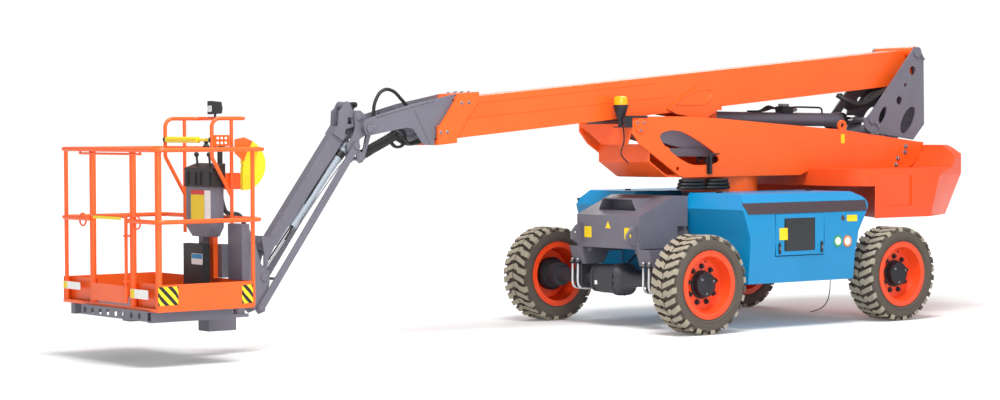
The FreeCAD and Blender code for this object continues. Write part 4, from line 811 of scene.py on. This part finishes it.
# outlines in side view, from the slew axis and the ground
leaf = [(-0.685, 1.989), (-0.62, 2.034), (-0.564, 2.066), (-0.48, 2.098), (-0.405, 2.117),
        (-0.31, 2.12), (-0.245, 2.112), (-0.243, 2.085), (-0.307, 2.008), (-0.37, 1.986),
        (-0.442, 1.981), (-0.57, 1.982)]
collar = ((-3.089, 1.992), (-3.015, 1.996), (-3.309, 1.746), (-3.241, 1.749))
for hand, side in (("near", -1), ("far", 1)):
    for i, ends in enumerate(seam_lines):
        hose(f"boom_seam_{i}_{side + 1}", [on_boom(p, side * skin) for p in ends], 0.0035,
             orange, "boom", sides=8)
    rim = [on_boom(p, side * (skin + 0.0145)) for p in leaf + leaf[:2]]
    hose(f"bracket_leaf_{side + 1}", rim, 0.005, orange, "boom", sides=8)
    heads("collar_bolts_" + hand, [on_boom(p, side * 0.164) for p in collar], (0, side, 0),
          0.019, 0.012, steel, "boom")
top_bolts = [boom_pin + ahead * a + boom_up * 0.0635 + Vector((0, y, 0))
             for a in (5.34, 5.42) for y in (-0.09, 0.0, 0.09)]
heads("collar_bolts_top", top_bolts, boom_up, 0.019, 0.012, steel, "boom")
for i, (y, size) in enumerate(((-0.2, 0.026), (-0.165, 0.022), (-0.12, 0.024), (-0.07, 0.02))):
    # along the boom from its pin, below the pin, and the share of y at each point
    route = ((0.98 - 0.04 * i, 0.335, 0.6), (0.93 - 0.04 * i, 0.39 + 0.01 * i, 1.0),
             (0.82, 0.43 + 0.012 * i, 1.0), (0.68, 0.43 + 0.012 * i, 1.0),
             (0.53, 0.39 - 0.012 * i, 1.0), (0.4, 0.34, 1.0), (0.3, 0.33, 0.7))
    hose(f"boom_hose_{i}", [boom_pin + ahead * along - boom_up * below + Vector((0, y * share, 0))
                            for along, below, share in route],
         size, hose_black, "boom", ribs=0.02)


# Nose and knuckle: an open fork at the end of the fly and two cast plates hung on its pin.
# The levelling hoses run under the fork in a black sleeve and over it in a free arc.
dress(grey, "knuckle", soften=0.004)
nose = pins["knuckle_level"]


def near_nose(dx, dz, y=0.0):
    """Point given from the nose's pin."""
    return nose + Vector((dx, y, dz))


sleeve = ((0.36, -0.05), (0.24, -0.11), (0.13, -0.16), (0.05, -0.2), (0.0, -0.222))
bundle = hose("levelling_sleeve", [near_nose(dx, dz) for dx, dz in sleeve], 0.045, hose_black,
              None, ribs=0.024, sides=14)
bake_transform(bundle)
for i, (y, size) in enumerate(((-0.05, 0.014), (0.0, 0.016), (0.05, 0.014))):
    coil = ((0.34, -0.04, 1.0), (0.42, -0.1, 1.0), (0.5, -0.13, 0.6), (0.6, -0.1, 1.0),
            (0.66, -0.03, 1.0))
    hose(f"nose_coil_{i}", [near_nose(dx, dz, y * share) for dx, dz, share in coil], size,
         hose_black, "fly", ribs=0.014)
for i in range(2):
    ring = ringed(near_nose(0.36 + 0.05 * i, -0.08, -0.02 + 0.05 * i), 0.075,
                  [k * math.pi / 5 for k in range(11)])
    hose(f"nose_ring_{i}", ring, 0.012, hose_black, "fly", ribs=0.012)
arc = ((0.15, 0.1), (0.16, 0.2), (0.21, 0.29), (0.28, 0.325), (0.36, 0.305), (0.43, 0.245),
       (0.52, 0.16))
hose("nose_arc", [near_nose(dx, dz, 0.02) for dx, dz in arc], 0.016, hose_black, "fly",
     ribs=0.016)
flange = ((0.07, 0.1), (0.45, 0.19), (0.66, 0.232))
hose("nose_flange_near", [near_nose(dx, dz, -0.129) for dx, dz in flange], 0.008, grey, "fly",
     sides=8)
rib = ((0.46, 0.16), (0.535, 0.02), (0.61, -0.12))
for side in (-1, 1):
    hose(f"nose_rib_{side + 1}", [near_nose(dx, dz, side * 0.1305) for dx, dz in rib], 0.006,
         grey, "fly", sides=8)
    pin_cap(f"nose_pin_cap_{side + 1}", near_nose(0, 0, side * 0.146), side, 0.03, 0.02, -0.006,
            0.005, "fly")
    heads(f"nose_keeper_{side + 1}", [near_nose(0.06, 0.012, side * 0.13)], (0, side, 0), 0.016,
          0.01, steel, "fly")


# Jib: box arm over a pair of flat link bars, lifted by a light-grey cylinder between them.
# The ends turn on greased pins, and two hoses run along the arm.
# stoved enamel on a drawn tube: a cool pale grey with a long highlight down its side
jib_grey = surface("jib_barrel_enamel", "9FA9B4", 0.28, grain=0.04)
dress(grey, "jib_arm", "jib_link", "jib_carrier")
dress(jib_grey, "jib_barrel")
dress(chrome, "jib_rod", soften=0.001)
arm_pin, link_pin = pins["jib_lift"], pins["jib_link_swing"]
low_pin = pins["carrier_level"]
jib_way = (low_pin - arm_pin).normalized()
jib_out = Vector((jib_way.z, 0, -jib_way.x))
for name, spot, radius, y, body, slot in (
        ("arm_top", arm_pin, 0.032, 0.087, "knuckle", "knuckle"),
        ("link_top", link_pin, 0.026, 0.111, "knuckle", "knuckle"),
        ("arm_low", low_pin, 0.032, 0.087, "carrier", "jib_carrier"),
        ("link_low", low_pin + link_pin - arm_pin, 0.026, 0.111, "carrier", "jib_carrier")):
    for side in (-1, 1):
        pin_cap(f"{name}_cap_{side + 1}", Vector((spot.x, side * y, spot.z)), side, radius,
                radius * 0.7, -0.003, 0.005, body)
for i, (dx, dz, size) in enumerate(((-0.105, 0.2, 0.03), (-0.072, 0.215, 0.024))):
    spun(f"head_fitting_{i}", [(0.001, -0.03), (size, -0.03), (size, 0.03), (0.001, 0.03)],
         near_nose(dx, dz - 0.02, -0.01), (0, 1, 0), dark_steel, "jib", steps=16)
for i, y in enumerate((-0.014, 0.014)):
    run = [arm_pin + jib_way * s + jib_out * d + Vector((0, y, 0))
           for s, d in ((0.2, -0.03), (0.32, -0.022), (0.6, -0.02), (0.9, -0.022), (1.2, -0.03))]
    hose(f"jib_hose_{i}", run, 0.009, hose_black, "jib")
gland = pins["jib_barrel_swing"]
cyl_way = (low_pin - gland).normalized()
spun("jib_gland", [(0.018, 0), (0.04, 0), (0.042, 0.006), (0.042, 0.05), (0.038, 0.056),
                   (0.018, 0.056)], gland + cyl_way * 0.055, cyl_way, hose_black, "jib_barrel",
     steps=32)
for i, turn in enumerate((-0.5, 0.5)):
    side = Vector((0, math.sin(turn), 0)) + Vector((cyl_way.z, 0, -cyl_way.x)) * -math.cos(turn)
    run = [gland + cyl_way * s + side * r for s, r in ((0.03, 0.05), (0.08, 0.062),
                                                      (0.2, 0.05), (0.5, 0.042), (0.72, 0.042))]
    hose(f"jib_pipe_{i}", run, 0.006, steel, "jib_barrel", sides=8)


# Platform: orange tube and sheet guard rails with toe boards on a grey chequered floor, hung
# on a channelled support. The gate swings on the far side of the end.
dress(orange, "guard_rails", "toe_boards", "gate")
dress(grey, "platform_support", "step_channel", "platform_floor", "pedestal")
dress(sticker_yellow, "crash_bar", "reel_guard")
dress(black, "console", "foot_box", "work_lamp", soften=0.004)
floor_low, floor_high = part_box("platform_floor")
rows, columns, margin = 24, 44, 0.05
tread = []
tread_faces = []
for i in range(rows):
    for j in range(columns):
        x = floor_low.x + margin + (floor_high.x - floor_low.x - 2 * margin) * i / (rows - 1)
        y = floor_low.y + margin + (floor_high.y - floor_low.y - 2 * margin) * j / (columns - 1)
        turn = math.pi / 4 if (i + j) % 2 else -math.pi / 4
        base = len(tread)
        for u, v, z in ((-0.012, 0, 0), (0, -0.004, 0), (0.012, 0, 0), (0, 0.004, 0),
                        (0, 0, 0.0014)):
            tread.append((x + u * math.cos(turn) - v * math.sin(turn),
                          y + u * math.sin(turn) + v * math.cos(turn), floor_high.z + z))
        tread_faces += [(base + k, base + (k + 1) % 4, base + 4) for k in range(4)]
plate = mesh_piece("floor_tread", tread, tread_faces, grey)
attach(plate, "platform")

rail_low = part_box("guard_rails")[0]
toe_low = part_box("toe_boards")[0]
# printed vinyl tape: flat yellow and black
stripe_yellow = surface("stripe_yellow", "EFD218", 0.4)
stripe_black = surface("stripe_black", "1B1B1D", 0.4)
board_y = toe_low.y - 0.0004
pitch, stripe = 0.08, 0.038
for name, left, right, low, high in (("front", -6.338, -6.165, 0.475, 0.615),
                                     ("rear", -5.612, -5.514, 0.46, 0.602)):
    tall = high - low
    slab(f"hazard_{name}", rounded(right - left, tall, 0.004),
         at((left + right) / 2, board_y, (low + high) / 2), (1, 0, 0), 0.0012, stripe_yellow,
         "platform", soften=0.0003)
    for k in range(-2, 3):
        foot = left + k * pitch
        if foot > right:
            continue
        bar = ((foot + tall, low), (foot + stripe + tall, low), (foot + stripe, high),
               (foot, high))
        outline = []
        for (u0, v0), (u1, v1) in zip(bar, bar[1:] + bar[:1]):
            for t in (0.0, 0.25, 0.5, 0.75):
                spot = Vector((min(max(u0 + (u1 - u0) * t, left), right), v0 + (v1 - v0) * t))
                if not outline or (spot - outline[-1]).length > 0.001:
                    outline.append(spot)
        rings = [[at(p.x, board_y - level, p.y) for p in outline] for level in (0.0013, 0.0021)]
        lofted(f"hazard_{name}_bar_{k + 3}", rings, stripe_black, "platform",
               smooth=False).modifiers.clear()
board_x = toe_low.x - 0.0004
end_right = (0, -1, 0)
for i, (y, z, wide, tall) in enumerate(((0.604, 0.562, 0.28, 0.058), (-0.466, 0.549, 0.27, 0.07))):
    slab(f"end_label_{i}", rounded(wide, tall, 0.004), (board_x, y, z), end_right, 0.0012,
         sticker_white, "platform", soften=0.0003)
    slab(f"end_label_head_{i}", rounded(0.06, tall - 0.004, 0.004),
         (board_x - 0.0012, y + wide / 2 - 0.034, z), end_right, 0.0006, sticker_yellow,
         "platform", soften=0.0002)
for i, (y, z) in enumerate(((0.395, 1.085), (-0.455, 1.085))):
    loop = [(rail_low.x + 0.024, y + 0.052 * math.cos(a), z + 0.048 * math.sin(a))
            for a in full_turn]
    hose(f"lanyard_loop_{i}", loop, 0.007, orange, "platform", sides=8)
gate_low, gate_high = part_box("gate")
slab("gate_grip", rounded(gate_high.y - gate_low.y - 0.12, 0.022, 0.01),
     (gate_low.x - 0.0008, (gate_low.y + gate_high.y) / 2, gate_high.z - 0.03), end_right,
     0.0016, stripe_yellow, "gate", soften=0.0004)


# Console: moulded control box on the rear rail with two joysticks, a row of switches and a red
# stop button. The work lamp, the sockets, the bin and the foot box are fixed round it.
console_low, console_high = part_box("console")
deck = console_high.z - 0.0005
# moulded ABS: a bright, glossy signal red
button_red = surface("button_red", "D32020", 0.3)
for i, y in enumerate((console_low.y + 0.1, console_high.y - 0.1)):
    stick = (console_low.x + 0.14, y, deck - 0.012)
    spun(f"joystick_boot_{i}", [(0.001, 0), (0.034, 0), (0.036, 0.008), (0.028, 0.016),
                                (0.03, 0.022), (0.022, 0.03), (0.022, 0.036), (0.012, 0.045),
                                (0.001, 0.045)], stick, (0, 0, 1), hose_black, "platform",
         steps=32)
    spun(f"joystick_grip_{i}", [(0.001, 0.03), (0.01, 0.03), (0.01, 0.045), (0.018, 0.05),
                                (0.019, 0.075), (0.014, 0.086), (0.001, 0.089)], stick, (0, 0, 1),
         black, "platform", steps=32)
spun("stop_button", [(0.001, 0), (0.02, 0), (0.02, 0.006), (0.012, 0.006), (0.012, 0.016),
                     (0.022, 0.018), (0.022, 0.026), (0.015, 0.031), (0.001, 0.032)],
     (console_low.x + 0.14, (console_low.y + console_high.y) / 2, deck - 0.014), (0, 0, 1),
     button_red, "platform", steps=32)
for i in range(6):
    y = console_low.y + 0.15 + 0.026 * i
    spun(f"toggle_{i}", [(0.001, 0), (0.006, 0), (0.006, 0.005), (0.003, 0.006), (0.004, 0.02),
                         (0.001, 0.021)], (console_low.x + 0.08, y, deck - 0.016), (-0.2, 0, 1),
         steel, "platform", steps=10)
lamp_low, lamp_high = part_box("work_lamp")
lamp_mid = (lamp_low + lamp_high) / 2
# pressed glass: pale and faintly blue, with a sharp reflection
lens = surface("lamp_lens", "DDE6EA", 0.08, ior=1.52)
slab("lamp_glass", rounded(lamp_high.y - lamp_low.y - 0.014, 0.05, 0.012),
     (lamp_low.x - 0.0004, lamp_mid.y, lamp_mid.z), end_right, 0.004, lens, "platform",
     soften=0.001)
for i, y in enumerate((console_low.y + 0.05, -0.19, -0.12, console_high.y - 0.05)):
    hose(f"console_rib_{i}", [(console_low.x - 0.003, y, z) for z in (1.35, 1.4, 1.45)], 0.009,
         black, "platform", sides=12)
bin_x = console_low.x - 0.0004
for name, wide, y, low, high, material in (
        ("bin_sign_yellow", 0.2, -0.15, 1.07, 1.275, sticker_yellow),
        ("bin_sign_head", 0.2, -0.15, 1.277, 1.31, button_red),
        ("bin_sign_white", 0.09, -0.3, 1.07, 1.31, sticker_white)):
    slab(name, rounded(wide, high - low, 0.004), (bin_x, y, (low + high) / 2), end_right,
         0.0012, material, "platform", soften=0.0003)
foot_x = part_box("foot_box")[0].x - 0.0004
slab("foot_label", rounded(0.166, 0.084, 0.006), (foot_x, -0.203, 0.778), end_right, 0.0012,
     sticker_white, "platform", soften=0.0003)
slab("foot_label_head", rounded(0.16, 0.036, 0.004), (foot_x - 0.0012, -0.203, 0.799), end_right,
     0.0006, blue, "platform", soften=0.0002)
guard_low, guard_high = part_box("reel_guard")
shroud = [(-0.084, -0.105), (-0.004, -0.17), (0.026, -0.095), (0.076, -0.015), (0.0, 0.016),
          (-0.084, 0.0)]
slab("reel_shroud", shroud, (guard_low.x, guard_low.y - 0.0005, guard_high.z), (1, 0, 0), 0.012,
     orange, "platform", soften=0.003)
bar_low, bar_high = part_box("crash_bar")
for i, (out, y) in enumerate(((-1, bar_low.y), (1, bar_high.y))):
    spun(f"crash_cap_{i}", [(0.001, 0), (0.0235, 0), (0.0235, 0.016), (0.018, 0.022),
                            (0.001, 0.023)],
         ((bar_low.x + bar_high.x) / 2, y - out * 0.0005, (bar_low.z + bar_high.z) / 2),
         (0, out, 0), hose_black, "platform", steps=32)
brick("console_post", at(-5.57, -0.258, 0.624), at(-5.53, -0.196, 0.993), orange, "platform")
for i, (low_y, high_y, low_z, high_z) in enumerate(((-0.314, -0.209, 0.631, 0.89),
                                                    (-0.609, -0.405, 0.625, 1.055))):
    brick(f"rear_box_{i}", at(-5.53, low_y, low_z), at(-5.46, high_y, high_z), grey, "platform")
slab("socket_panel", rounded(0.143, 0.086, 0.008), at(-5.5875, -0.41, 1.695), (1, 0, 0), 0.008,
     orange, "platform", soften=0.002)
for i in range(6):
    spun(f"socket_{i}", [(0.001, 0), (0.011, 0), (0.011, 0.005), (0.007, 0.006), (0.001, 0.003)],
         at(-5.624 + 0.036 * (i % 3), -0.4185, 1.677 + 0.036 * (i // 3)), (0, -1, 0),
         sticker_white, "platform", steps=16)
slab("orange_box", rounded(0.145, 0.127, 0.012), at(-5.4635, -0.33, 1.38), (1, 0, 0), 0.05,
     orange, "platform", soften=0.003)
loom = ((-5.414, 1.3), (-5.36, 1.133), (-5.231, 1.096), (-5.168, 0.929), (-5.17, 0.7),
        (-5.2, 0.604))
hose("console_loom", [at(x, -0.1, z) for x, z in loom], 0.02, hose_black, "platform",
     ribs=0.016)
